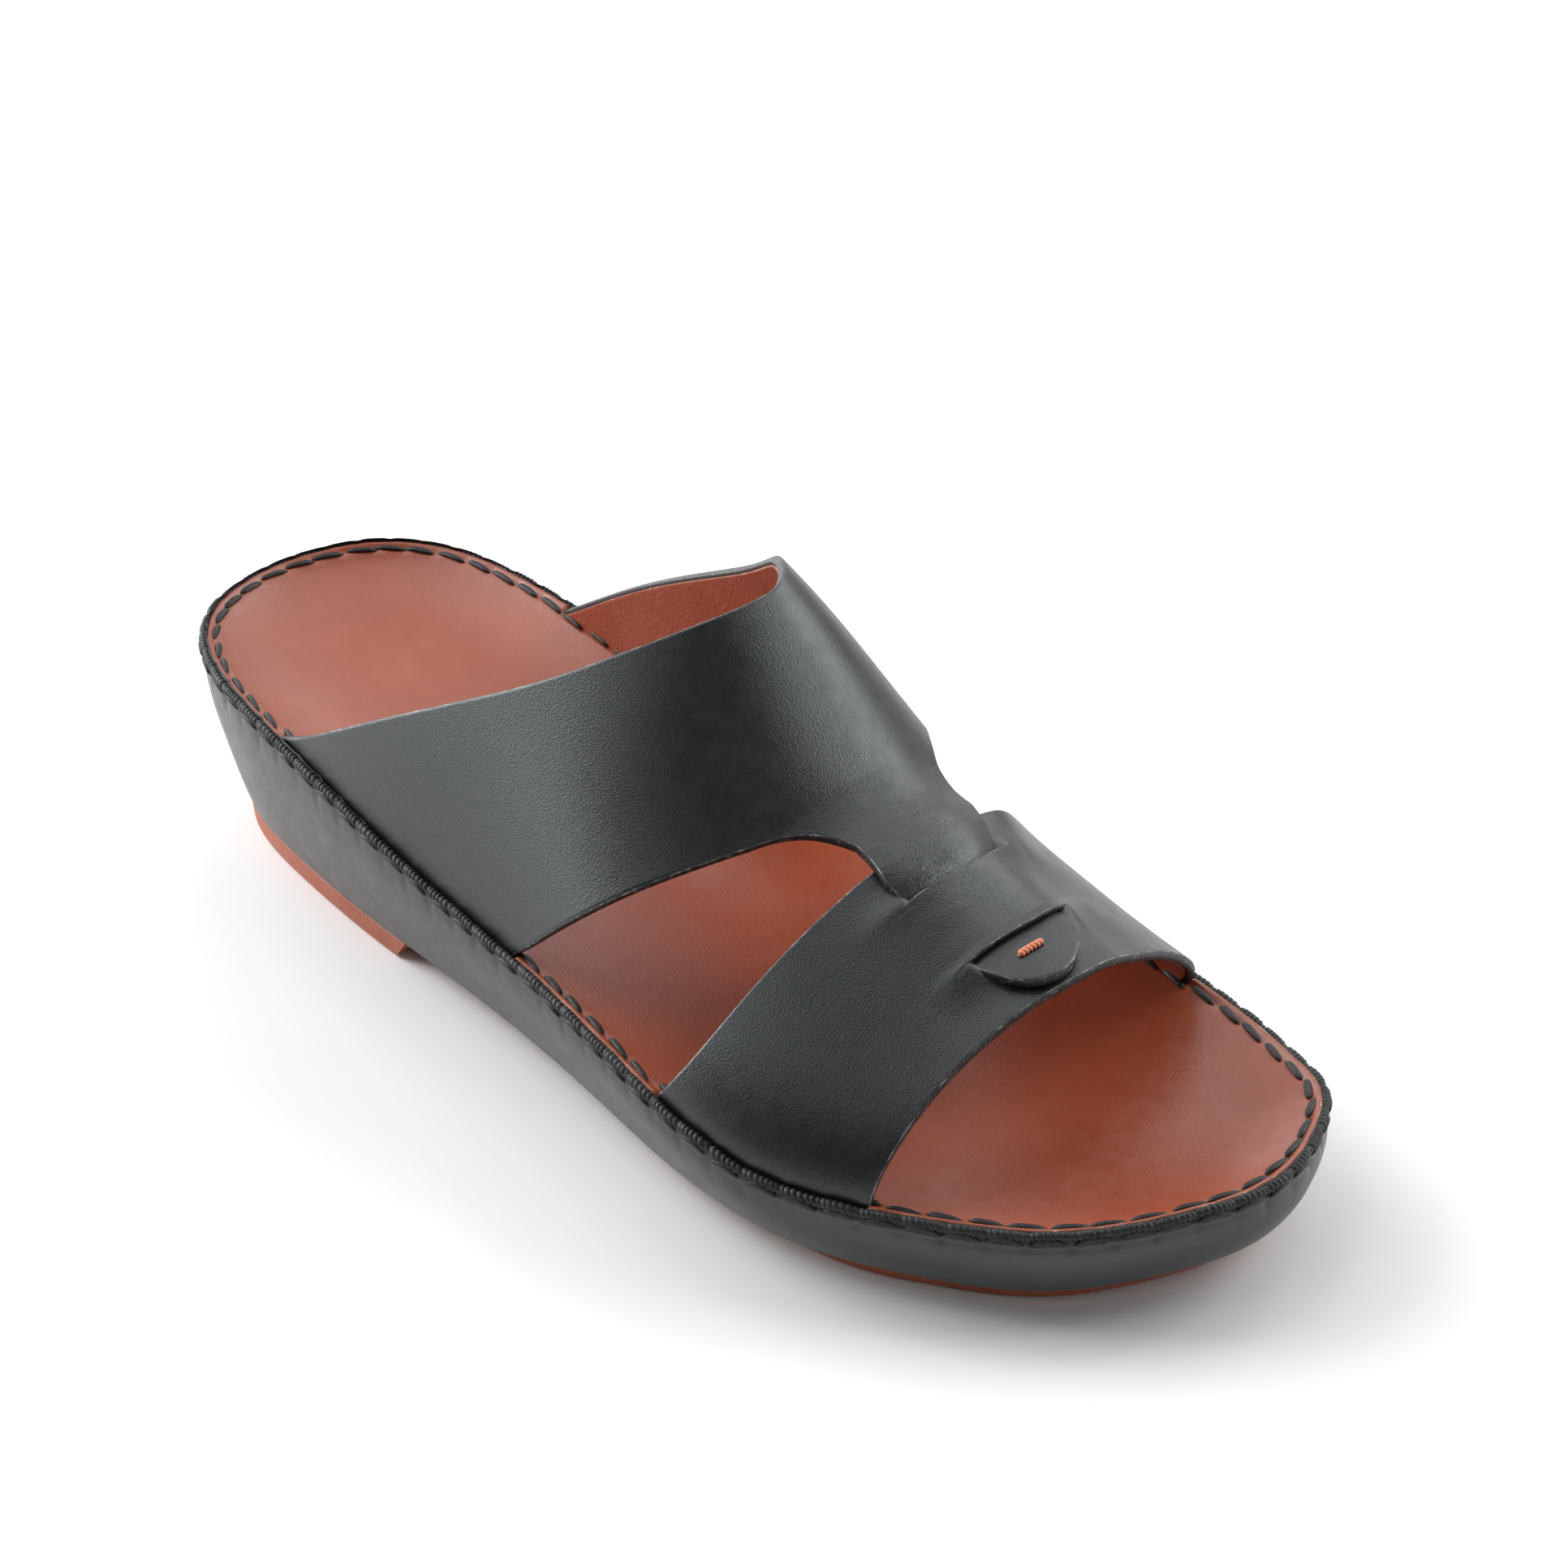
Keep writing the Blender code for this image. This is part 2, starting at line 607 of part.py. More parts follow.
def foot_slot(name, side, start_x, end_x, finish):
    """Bar along the rim that cuts the footbed's edge where a strap's foot is tucked in."""
    x = np.linspace(start_x - SLOT_ROOM, end_x + SLOT_ROOM, SLOT_STEPS + 1)
    grids = []
    for inset in (RIM_INSET - 2.0 * GAP, RIM_INSET + LEATHER + GAP):
        half = half_loops(inset)[0 if side < 0 else 1]
        plan = np.column_stack([x, np.interp(x, half[:, 0], half[:, 1])])
        low = level_ring(plan, RIM(x) - 3.0 * FOOTBED_THICK)
        high = level_ring(plan, RIM(x) + FOOTBED_THICK)
        grids.append(np.stack([low, high]))
    return sheet(name, grids[0], grids[1], finish)


def clear_scene():
    for item in list(bpy.data.objects):
        bpy.data.objects.remove(item, do_unlink=True)


def main():
    clear_scene()
    black = material("black_leather", BLACK, 0.42)
    black_wall = material("black_wall_leather", BLACK, 0.45)
    thread = material("black_thread", (0.012, 0.013, 0.014, 1.0), 0.6)
    tan = material("tan_leather", TAN, 0.45)
    tan_sole = material("tan_sole", TAN, 0.55)
    tan_heel = material("tan_heel", TAN, 0.5)
    make_outsole(tan_sole)
    make_heel_lift(tan_heel)
    make_midsole(black_wall)
    make_roll(thread)
    footbed = make_footbed(tan)
    make_upper(black)
    feet = (
        ("slot_front_right", -1, FRONT_STRAP[0][1], FRONT_STRAP[0][2]),
        ("slot_front_left", 1, FRONT_STRAP[-1][1], FRONT_STRAP[-1][2]),
        ("slot_rear_right", -1, REAR_EDGE[0][1], REAR_FRONT[0][1]),
        ("slot_rear_left", 1, REAR_EDGE[-1][1], REAR_FRONT[0][2]),
    )
    for name, side, start_x, end_x in feet:
        combine(footbed, foot_slot(name, side, start_x, end_x, tan), "DIFFERENCE")


main()
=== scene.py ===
"""Looks of the right sandal: lined straps, wrapped wall, stitched rim, footbed, sole, studio and camera.

Sizes are in millimetres and become metres when a mesh is made. Angles around the foot run from 0 at the
right rim, over the instep, to 180 at the left rim.
"""
import math
from types import SimpleNamespace as Values

import bpy
import numpy as np
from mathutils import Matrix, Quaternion, Vector


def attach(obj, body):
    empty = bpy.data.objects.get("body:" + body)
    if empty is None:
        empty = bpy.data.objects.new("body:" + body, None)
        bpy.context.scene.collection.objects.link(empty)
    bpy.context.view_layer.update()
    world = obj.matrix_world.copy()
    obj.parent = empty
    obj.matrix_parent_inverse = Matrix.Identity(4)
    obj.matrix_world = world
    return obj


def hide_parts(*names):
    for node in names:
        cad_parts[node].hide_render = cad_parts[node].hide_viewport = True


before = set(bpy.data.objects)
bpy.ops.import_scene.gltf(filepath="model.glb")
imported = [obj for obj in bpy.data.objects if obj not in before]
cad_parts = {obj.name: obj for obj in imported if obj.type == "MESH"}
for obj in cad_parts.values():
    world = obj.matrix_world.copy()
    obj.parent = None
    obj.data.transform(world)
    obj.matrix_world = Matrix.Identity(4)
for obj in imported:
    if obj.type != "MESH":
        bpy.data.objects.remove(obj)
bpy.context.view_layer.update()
MM = 0.001
RNG = np.random.default_rng(7)

# Driving sizes of the shoe
LENGTH = 287.6
HEEL_X = -142.5
TOE_X = HEEL_X + LENGTH
BALL_WIDTH = 115.4
HEEL_HEIGHT = 45.0
INSTEP_HEIGHT = 92.6
GAP = 0.3

# Sole and rim
SOLE_THICK = 3.0
HEEL_LIFT = 5.5
HEEL_BREAST = (-53.5, -49.0)
HEEL_INSET = (9.4, 8.8)
TREAD = (48.0, 108.0)
TREAD_LIFT = Values(waist=2.5, toe=3.2)
PLATFORM_LIFT = Values(heel=0.8, waist=1.7, fore=(95.0, 55.0))
WALL_TUCK = 8.2
WALL_TOP_INSET = 0.5
WALL_TOP_DROP = 2.6
SOLE_INSET = (8.9, 8.2)
SOLE_WAIST = Values(inset=6.3, x=(102.0, 60.0))
SOLE_TOE = Values(inset=0.3, x=(112.0, 145.0))
RIM_INSET = 3.5
RIM_STEP = 0.5
DISH_POWER = 2.8
DISH_END = 0.3 * BALL_WIDTH
ARCH = Values(x=-20.0, length=34.0, rise=2.5, across=0.45)
FOOT_TUCK = 3.2

SECTIONS = (
    # station, centre, half_width, rim, dish
    (0.018, 2.0, 0.368, 0.998, 6.0),
    (0.070, 1.0, 0.609, 0.987, 6.5),
    (0.175, -1.0, 0.731, 0.940, 7.0),
    (0.263, -2.8, 0.763, 0.878, 6.5),
    (0.351, -4.7, 0.767, 0.778, 5.5),
    (0.439, -5.1, 0.792, 0.705, 5.0),
    (0.526, -4.9, 0.852, 0.676, 5.0),
    (0.614, -4.5, 0.939, 0.647, 5.5),
    (0.702, -3.7, 1.000, 0.568, 5.5),
    (0.754, -2.5, 0.990, 0.497, 5.0),
    (0.807, -0.2, 0.935, 0.462, 4.5),
    (0.860, 2.6, 0.842, 0.458, 4.0),
    (0.912, 5.0, 0.722, 0.468, 4.0),
    (0.954, 7.4, 0.566, 0.490, 4.0),
    (0.986, 8.4, 0.295, 0.513, 4.0),
)
WALL_PROFILE = (
    # share of the height, tuck at the heel, tuck at the toe
    (0.0, 0.0, 0.0),
    (0.25, 0.13, -0.04),
    (0.5, 0.38, 0.02),
    (0.72, 0.63, 0.20),
    (0.88, 0.83, 0.50),
    (1.0, 1.0, 1.0),
)
WALL_TOE_X = (40.0, 110.0)
LAST = (
    # x, crest, crest_y, full_left
    (-90.0, 1.230, 9.4, 1.97),
    (-40.0, 1.212, 9.4, 1.97),
    (-15.0, 1.136, 9.4, 1.95),
    (10.0, 0.996, 9.4, 1.91),
    (25.0, 0.855, 8.5, 1.84),
    (40.0, 0.716, 6.7, 1.72),
    (55.0, 0.643, 5.2, 1.56),
    (70.0, 0.595, 4.4, 1.50),
    (90.0, 0.545, 4.2, 1.51),
    (112.0, 0.531, 4.0, 1.53),
)
FULL_RIGHT = 1.75
FRONT_STRAP = (
    # angle, rear_x, front_x
    (0.0, 50.5, 96.0),
    (20.0, 55.6, 96.6),
    (45.0, 57.5, 96.9),
    (70.0, 57.0, 97.9),
    (90.0, 56.5, 98.9),
    (110.0, 55.0, 98.0),
    (135.0, 52.0, 94.6),
    (160.0, 49.0, 90.2),
    (180.0, 46.5, 86.0),
)
REAR_EDGE = (
    # angle, x
    (0.0, -83.5), (20.0, -51.0), (40.0, -18.0), (60.0, 1.0), (80.0, 8.6),
    (100.0, 7.0), (120.0, -3.8), (140.0, -20.5), (160.0, -51.5), (180.0, -85.0),
)
REAR_FRONT = (
    # angle_from_rim, right_x, left_x
    (0.0, -1.0, -1.0),
    (20.0, 16.5, 16.0),
    (38.0, 28.3, 25.5),
    (50.0, 34.3, 32.0),
)
NECK_HALF = 13.5
NECK_START = 37.8
NECK_FLARE = {"right": (17.2, 5.8), "left": (7.0, 9.0)}
NECK_AXIS = ((38.0, 7.0), (51.0, 7.5), (61.0, 4.2), (84.0, 4.0))
NECK_RISE = (
    # x, height of the neck, its strip and the tab over the front strap's level
    (40.0, 0.0), (47.0, 0.75), (54.0, 2.0), (59.0, 2.4), (62.5, 2.2),
    (64.6, 1.75), (65.6, 1.25), (66.6, 0.55), (68.0, 0.0), (69.5, -0.35),
    (75.0, -0.55), (79.0, -0.55), (81.0, -0.25), (82.5, 0.25), (83.6, 0.7),
    (86.0, 1.4), (88.5, 2.0), (90.7, 2.3), (92.5, 2.35),
)
STRIP_ARCH = Values(rise=1.9, x=(56.0, 65.0), kept=0.3, tab=(83.0, 91.0))
NECK_LINED = 58.0
SLOTS = {
    # place along the shoe, middle and half length across it,
    # share of the bridge's rise kept beside it, reach along the shoe
    "rear": (66.6, 5.1, 15.5, -0.25, 4.0),
    "front": (83.6, 3.6, 15.0, -0.17, 5.5),
}
SLOT_FADE = Values(right=3.0, left=4.0, spread=0.8)
SLOT_SKIVE = Values(depth=0.65, reach=3.0)
SLOT_BOW = Values(start=4.4, bend=0.0127, reach=20.0, neck=(44.0, 58.0))
BRIDGE = Values(half=5.0, fade=24.0)
BRIDGE_RISE = ((66.6, 2.0), (70.0, 1.75), (77.0, 1.55), (81.8, 1.65), (83.6, 2.1))
LOBE = Values(y=20.5, width=8.5, rise=2.9, x=(78.0, 56.0), start_y=(9.0, 22.0))
TAB = Values(centre=(80.2, 3.1), across=(-1.28, 12.67), tip=(17.5, -2.57), root=-0.08, fade=0.2)
TAB_MERGE = (70.0, 78.5)

# Layers of the straps
STRAP_LEATHER = 2.0
STRIP_LEATHER = 2.15
STRIP_SKIVED = Values(thick=0.9, start=(64.0, 66.0), end=(90.0, 83.0))
LINING = Values(thick=0.45, press=0.02, round=0.1, trim=0.014, front_trim=0.0196, neck=0.96)
STRAP_INSET = 2.2
EDGE_ROUND = 0.36
EDGE_PROFILE = (
    # share of the thickness, share of the rounding
    (0.07, 0.62), (0.17, 0.88), (0.5, 1.0), (0.83, 0.88), (0.93, 0.62),
)
CREST_ROUND = 30.0

# Fineness of the straps' meshes
BODY_STEPS = Values(side=44, across=40, rows=56)
BODY_ROOT = (64.0, 118.0)
NECK_ROWS = Values(strap=150, lining=60)
TAB_ROWS = Values(count=26, edge=0.2)
FRONT_STEPS = Values(strap=220, lining=120)
FRONT_BANDS = (("rear", 20), (None, 34), ("front", 34))
BAND_EDGE = 0.5
LINING_ROWS = 24
SLOT_OPEN = 0.001
RISE_SMOOTH = np.linspace(-0.6, 0.6, 7)
ANGLE_ROUNDS = 12
SLOT_ROUNDS = 6
NORMAL_STEP = Values(x=0.5, angle=0.4)
TINY = 1e-9


# Curves
def column(table, index):
    return np.array([row[index] for row in table], dtype=float)


def spline(knots, values):
    """Natural cubic through the knots, held level outside them."""
    count = len(knots)
    step = np.diff(knots)
    matrix = np.eye(count)
    right = np.zeros(count)
    for i in range(1, count - 1):
        matrix[i, i - 1:i + 2] = step[i - 1], 2.0 * (step[i - 1] + step[i]), step[i]
        right[i] = 6.0 * ((values[i + 1] - values[i]) / step[i] - (values[i] - values[i - 1]) / step[i - 1])
    bend = np.linalg.solve(matrix, right)

    def curve(at):
        at = np.clip(np.asarray(at, dtype=float), knots[0], knots[-1])
        i = np.clip(np.searchsorted(knots, at) - 1, 0, count - 2)
        a = (knots[i + 1] - at) / step[i]
        b = 1.0 - a
        sag = ((a ** 3 - a) * bend[i] + (b ** 3 - b) * bend[i + 1]) * step[i] ** 2 / 6.0
        return a * values[i] + b * values[i + 1] + sag

    return curve


def ease(value):
    value = np.clip(value, 0.0, 1.0)
    return value * value * (3.0 - 2.0 * value)


def smooth(value, start, end):
    """Soft rise from 0 at the start to 1 at the end, on either side of it."""
    return ease((value - start) / (end - start))


def bump(value, width):
    return np.exp(-(value / width) ** 2)


def mix(first, second, share):
    return first + (second - first) * share


def unit(vectors):
    return vectors / np.linalg.norm(vectors, axis=-1, keepdims=True)


def cosine_steps(count):
    """Shares from 0 to 1, close together at both ends."""
    return 0.5 - 0.5 * np.cos(np.linspace(0.0, math.pi, count + 1))


def curve_of(table, index, scale=1.0):
    """Curve through one column of a table over its first."""
    return spline(column(table, 0), column(table, index) * scale)


def line_of(table, at):
    """Straight runs between the rows of a table, its second column over its first."""
    return np.interp(at, column(table, 0), column(table, 1))


STATION_TURN = np.arccos(1.0 - 2.0 * column(SECTIONS, 0))
BREADTH = spline(STATION_TURN, column(SECTIONS, 2) * BALL_WIDTH / 2.0 / np.sin(STATION_TURN))
CENTRE = spline(STATION_TURN, column(SECTIONS, 1))
SECTION_X = HEEL_X + column(SECTIONS, 0) * LENGTH
RIM = spline(SECTION_X, column(SECTIONS, 3) * HEEL_HEIGHT)
DISH = spline(SECTION_X, column(SECTIONS, 4))
CREST = curve_of(LAST, 1, INSTEP_HEIGHT)
CREST_Y = curve_of(LAST, 2)
FULL_LEFT = curve_of(LAST, 3)
PROFILE_HEEL = curve_of(WALL_PROFILE, 1)
PROFILE_TOE = curve_of(WALL_PROFILE, 2)


def side_points(turn, side):
    """Plan points of one side, side -1 right and +1 left."""
    x = HEEL_X + LENGTH / 2.0 * (1.0 - np.cos(turn))
    y = CENTRE(turn) + side * BREADTH(turn) * np.sin(turn)
    return np.stack([x, y], axis=-1)


# Rim line: heel to toe along the right side, then back along the left, read by its arc length
HALF_STEPS = 1500
HALF_TURN = np.linspace(0.0, math.pi, HALF_STEPS + 1)
LOOP = np.vstack([side_points(HALF_TURN, -1), side_points(HALF_TURN, 1)[-2:0:-1]])
ORIGIN = np.append((LOOP.min(axis=0) + LOOP.max(axis=0)) / 2.0, 0.0)
LOOP_ALONG = unit(np.roll(LOOP, -1, axis=0) - np.roll(LOOP, 1, axis=0))
LOOP_IN = np.stack([-LOOP_ALONG[:, 1], LOOP_ALONG[:, 0]], axis=-1)
ARC = np.append(0.0, np.cumsum(np.linalg.norm(np.roll(LOOP, -1, axis=0) - LOOP, axis=1)))
PERIMETER = ARC[-1]
TOE_ARC = ARC[HALF_STEPS]


def around(values, s):
    """Value kept at the loop's points, read at an arc length."""
    return np.interp(np.asarray(s) % PERIMETER, ARC, np.append(values, values[0]))


def rim_point(s, inset, height=0.0):
    """Point beside the rim: arc length from the heel, distance inside the outline, height over the rim."""
    s, inset, height = np.broadcast_arrays(s, inset, height)
    x = around(LOOP[:, 0], s) + around(LOOP_IN[:, 0], s) * inset
    y = around(LOOP[:, 1], s) + around(LOOP_IN[:, 1], s) * inset
    return np.stack([x, y, RIM(x) + height], axis=-1)


def tread_height(x):
    """Height of the sole's underside over the floor."""
    waist = TREAD_LIFT.waist * smooth(x, TREAD[0], HEEL_BREAST[1])
    return waist + TREAD_LIFT.toe * smooth(x, TREAD[1], TOE_X)


def base_height(x):
    """Height of the wall's foot over the floor."""
    waist = PLATFORM_LIFT.waist * smooth(x, *PLATFORM_LIFT.fore)
    heel = PLATFORM_LIFT.heel * smooth(x, HEEL_BREAST[1] + BALL_WIDTH / 2.0, HEEL_BREAST[1])
    toe = TREAD_LIFT.toe * smooth(x, TREAD[1], TOE_X)
    return SOLE_THICK + GAP + waist + heel + toe


def strap_cover(s, room):
    """1 where a strap's foot is tucked into the rim, falling to 0 over some room."""
    x = around(LOOP[:, 0], s)
    right = (np.asarray(s) % PERIMETER) < TOE_ARC
    cover = np.zeros_like(x)
    for is_right, start, end in FEET:
        inside = ease((x - start) / room + 1.0) * ease((end - x) / room + 1.0)
        cover = np.maximum(cover, inside * (right == is_right))
    return cover


FEET = (
    # is_right, start_x, end_x
    (True, REAR_EDGE[0][1], REAR_FRONT[0][1]),
    (True, FRONT_STRAP[0][1], FRONT_STRAP[0][2]),
    (False, REAR_EDGE[-1][1], REAR_FRONT[0][2]),
    (False, FRONT_STRAP[-1][1], FRONT_STRAP[-1][2]),
)


# Materials
NOISE_SPAN = (0.3, 0.7)
PATCH_STOPS = (0.30, 0.5, 0.72)
PORE_SCALE = 1.5
WORN_SCALE = 0.12
FLECK_SCALE = 2.2


def fill(tree, node, inputs):
    """Inputs of a shader node from values or sockets to link."""
    for key, value in inputs.items():
        if isinstance(value, bpy.types.NodeSocket):
            tree.links.new(value, node.inputs[key])
        else:
            node.inputs[key].default_value = value


def place(tree, kind, inputs, **settings):
    """New shader node with its settings and inputs."""
    made = tree.nodes.new(kind)
    for key, value in settings.items():
        setattr(made, key, value)
    fill(tree, made, inputs)
    return made


def ramp(tree, factor, stops):
    """Colour ramp with stops of (place, colour)."""
    made = place(tree, "ShaderNodeValToRGB", {"Fac": factor})
    points = made.color_ramp.elements
    while len(points) < len(stops):
        points.new(0.5)
    for point, (at, colour) in zip(points, stops):
        point.position = at
        point.color = (*colour, 1.0)
    return made.outputs["Color"]


def noise(tree, at, scale, detail=3.0, rough=0.55):
    return place(tree, "ShaderNodeTexNoise",
                 {"Vector": at, "Scale": scale, "Detail": detail, "Roughness": rough}).outputs["Fac"]


def map_range(tree, value, span, result):
    """Value mapped from one span to another."""
    limits = {"From Min": span[0], "From Max": span[1], "To Min": result[0], "To Max": result[1]}
    return place(tree, "ShaderNodeMapRange", {"Value": value, **limits}).outputs["Result"]


def combine(tree, operation, first, second):
    return place(tree, "ShaderNodeMath", {0: first, 1: second}, operation=operation).outputs["Value"]


def new_material(name, specular=0.5, tint=(1.0, 1.0, 1.0)):
    """Material with its tree, its shader and the coordinates that its textures read."""
    made = bpy.data.materials.new(name)
    made.use_nodes = True
    tree = made.node_tree
    shader = tree.nodes["Principled BSDF"]
    fill(tree, shader, {"Specular IOR Level": specular, "Specular Tint": (*tint, 1.0)})
    at = place(tree, "ShaderNodeTexCoord", {}).outputs["Object"]
    return made, tree, shader, at


def finish_material(tree, shader, colour, rough_from, rough, height, distance, strength=1.0):
    """Colour, gloss that wanders between two roughnesses, and relief."""
    gloss = map_range(tree, rough_from, NOISE_SPAN, rough)
    relief = place(tree, "ShaderNodeBump", {"Strength": strength, "Distance": distance, "Height": height})
    fill(tree, shader, {"Base Color": colour, "Roughness": gloss, "Normal": relief.outputs["Normal"]})


def leather(name, colours, rough, grain, depth, patch=26.0, crinkle=None, **finish):
    """Smooth leather: patchy colour, fine grain, uneven gloss, and folds near one place."""
    made, tree, shader, at = new_material(name, **finish)
    patches = noise(tree, at, patch, 4.0, 0.6)
    colour = ramp(tree, patches, tuple(zip(PATCH_STOPS, colours)))
    pebble = place(tree, "ShaderNodeTexVoronoi", {"Vector": at, "Scale": grain}).outputs["Distance"]
    relief = combine(tree, "ADD", pebble, noise(tree, at, grain * PORE_SCALE, 2.0))
    if crinkle:
        away = place(tree, "ShaderNodeVectorMath", {0: at, 1: crinkle.at}, operation="DISTANCE")
        mask = map_range(tree, away.outputs["Value"], crinkle.radius, (crinkle.height, 0.0))
        drawn = place(tree, "ShaderNodeMapping", {"Vector": at, "Scale": crinkle.stretch})
        lines = noise(tree, drawn.outputs["Vector"], crinkle.scale, 3.0, 0.6)
        relief = combine(tree, "ADD", relief, combine(tree, "MULTIPLY", lines, mask))
    worn = noise(tree, at, grain * WORN_SCALE)
    finish_material(tree, shader, colour, worn, rough, relief, depth)
    return made


def speckled(name, stops, scale, rough, depth, **finish):
    """Cut edge or thread: colour broken up by a fine noise."""
    made, tree, shader, at = new_material(name, **finish)
    flecks = noise(tree, at, scale, 4.0, 0.7)
    fine = noise(tree, at, scale * FLECK_SCALE, 2.0)
    finish_material(tree, shader, ramp(tree, flecks, stops), fine, rough, fine, depth)
    return made


COOL = (0.93, 0.985, 1.0)
NECK_FOLDS = Values(
    at=(0.058, 0.005, 0.058), radius=(0.007, 0.020), height=7.0, stretch=(1.0, 0.22, 0.6), scale=650.0)
BLACK = leather(
    "black_leather", ((0.0056, 0.0068, 0.0080), (0.0068, 0.0082, 0.0096), (0.0084, 0.0099, 0.0114)),
    rough=(0.34, 0.41), grain=2400.0, depth=0.000038, specular=0.68, tint=COOL, crinkle=NECK_FOLDS)
WALL_BLACK = leather(
    "black_wall_leather", ((0.0074, 0.0086, 0.0098), (0.0090, 0.0103, 0.0117), (0.0112, 0.0126, 0.0142)),
    rough=(0.32, 0.40), grain=2400.0, depth=0.000026, specular=0.85, tint=COOL)
EDGE_BLACK = speckled(
    "black_cut_edge",
    ((0.42, (0.008, 0.009, 0.010)), (0.56, (0.016, 0.017, 0.018)), (0.70, (0.150, 0.145, 0.135))),
    scale=900.0, rough=(0.40, 0.55), depth=0.00009)
# Outer corner of the straps' cut edges: a painted highlight, light grey flecks on black where the corner
# catches the light
EDGE_PAINTED_HIGHLIGHT = speckled(
    "black_edge_painted_highlight",
    ((0.36, (0.012, 0.013, 0.014)), (0.50, (0.060, 0.060, 0.058)), (0.64, (0.300, 0.295, 0.280))),
    scale=420.0, rough=(0.40, 0.55), depth=0.00006)
THREAD = speckled(
    "black_thread",
    ((0.3, (0.008, 0.009, 0.010)), (0.55, (0.013, 0.014, 0.016)), (0.8, (0.026, 0.027, 0.029))),
    scale=700.0, rough=(0.42, 0.62), depth=0.00010, specular=0.4)
TAN = leather(
    "tan_leather", ((0.245, 0.046, 0.0155), (0.285, 0.055, 0.0190), (0.330, 0.068, 0.0250)),
    rough=(0.33, 0.44), grain=1900.0, depth=0.00003, patch=18.0, specular=0.75)
TAN_LINING = leather(
    "tan_lining", ((0.26, 0.050, 0.020), (0.31, 0.062, 0.026), (0.36, 0.080, 0.036)), rough=(0.42, 0.55),
    grain=1200.0, depth=0.00008, patch=30.0)
RAW_EDGE = speckled(
    "raw_leather_edge",
    ((0.38, (0.20, 0.050, 0.026)), (0.56, (0.34, 0.120, 0.065)), (0.68, (0.70, 0.55, 0.40))), scale=160.0,
    rough=(0.5, 0.7), depth=0.00010)
TAN_SOLE = leather(
    "tan_sole", ((0.28, 0.066, 0.029), (0.34, 0.084, 0.038), (0.40, 0.110, 0.054)), rough=(0.42, 0.56),
    grain=700.0, depth=0.00009, patch=40.0)
ORANGE = speckled(
    "orange_thread", ((0.3, (0.62, 0.16, 0.07)), (0.5, (0.80, 0.27, 0.14)), (0.75, (0.92, 0.42, 0.26))),
    scale=1600.0, rough=(0.45, 0.6), depth=0.00008)


# Mesh helpers
def add_object(name, data):
    made = bpy.data.objects.new(name, data)
    bpy.context.scene.collection.objects.link(made)
    return made


def add_piece(name, points, faces, materials, face_material=None, sharp_deg=50.0):
    """Piece that rides with the shoe, from points in millimetres."""
    mesh = bpy.data.meshes.new(name)
    mesh.from_pydata(((np.asarray(points) - ORIGIN) * MM).tolist(), [], faces)
    mesh.validate()
    mesh.shade_smooth()
    mesh.set_sharp_from_angle(angle=math.radians(sharp_deg))
    for finish in materials:
        mesh.materials.append(finish)
    if face_material is not None:
        mesh.polygons.foreach_set("material_index", np.asarray(face_material, dtype=np.int32))
    made = add_object(name, mesh)
    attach(made, "root")
    return made


def grid_quads(index):
    """Quads over a grid of vertex numbers."""
    return np.stack([index[:-1, :-1], index[:-1, 1:], index[1:, 1:], index[1:, :-1]], axis=-1).reshape(-1, 4)


def ring_quads(rows, count, start=0):
    """Quads between closed rings of equal count that follow each other."""
    index = start + np.arange(rows * count).reshape(rows, count)
    return grid_quads(np.pad(index, ((0, 0), (0, 1)), mode="wrap"))


def cap_faces(start, count, shift):
    """Faces across a closed ring, between points that lie opposite each other."""
    faces = []
    for i in range((count - shift) // 2):
        quad = i, i + 1, (count - shift - i - 1) % count, (count - shift - i) % count
        faces.append([start + k for k in dict.fromkeys(quad)])
    return faces


def boundary_loops(faces):
    """Closed loops of directed edges that belong to one face only."""
    edges = {edge for face in faces.tolist() for edge in zip(face, face[1:] + face[:1])}
    follow = {a: b for a, b in edges if (b, a) not in edges}
    loops = []
    while follow:
        start = next(iter(follow))
        loop = [start]
        at = follow.pop(start)
        while at != start:
            loop.append(at)
            at = follow.pop(at)
        loops.append(np.array(loop))
    return loops


def shell(name, outer, inner, faces, materials, edge_round=EDGE_ROUND):
    """Closed sheet between two layers; materials of its faces, its cut edge and the edge's outer corner."""
    count = len(outer)
    points = [outer, inner]
    all_faces = faces.tolist() + (faces[:, ::-1] + count).tolist()
    kinds = [0] * len(all_faces)
    total = 2 * count
    for loop in boundary_loops(faces):
        top, low = outer[loop], inner[loop]
        along = np.roll(top, -1, axis=0) - np.roll(top, 1, axis=0)
        out = np.cross(along, top - low)
        out /= np.maximum(np.linalg.norm(out, axis=1), TINY)[:, None]
        rings = [loop]
        for share, swell in EDGE_PROFILE:
            points.append(mix(top, low, share) + out * edge_round * swell)
            rings.append(np.arange(len(loop)) + total)
            total += len(loop)
        rings.append(loop + count)
        for step, (upper, lower) in enumerate(zip(rings, rings[1:])):
            quads = np.stack([np.roll(upper, -1), upper, lower, np.roll(lower, -1)], axis=-1)
            all_faces += quads.tolist()
            # The first strip, at the edge's outer corner, takes the last material; on the straps it carries
            # a painted highlight
            kinds += [1 if step else len(materials) - 1] * len(quads)
    return add_piece(name, np.vstack(points), all_faces, materials, kinds)


def welded(points, faces, decimals=4):
    """Points with equal places joined to one, and the faces that remain."""
    _, first, same = np.unique(np.round(points, decimals), axis=0, return_index=True, return_inverse=True)
    kept = [tuple(dict.fromkeys(face)) for face in same.reshape(-1)[faces].tolist()]
    return points[first], [face for face in kept if len(face) > 2]


# Last under the straps
RIGHT_RIM = rim_point(np.linspace(0.0, TOE_ARC, HALF_STEPS), STRAP_INSET)
LEFT_RIM = rim_point(np.linspace(PERIMETER, TOE_ARC, HALF_STEPS), STRAP_INSET)


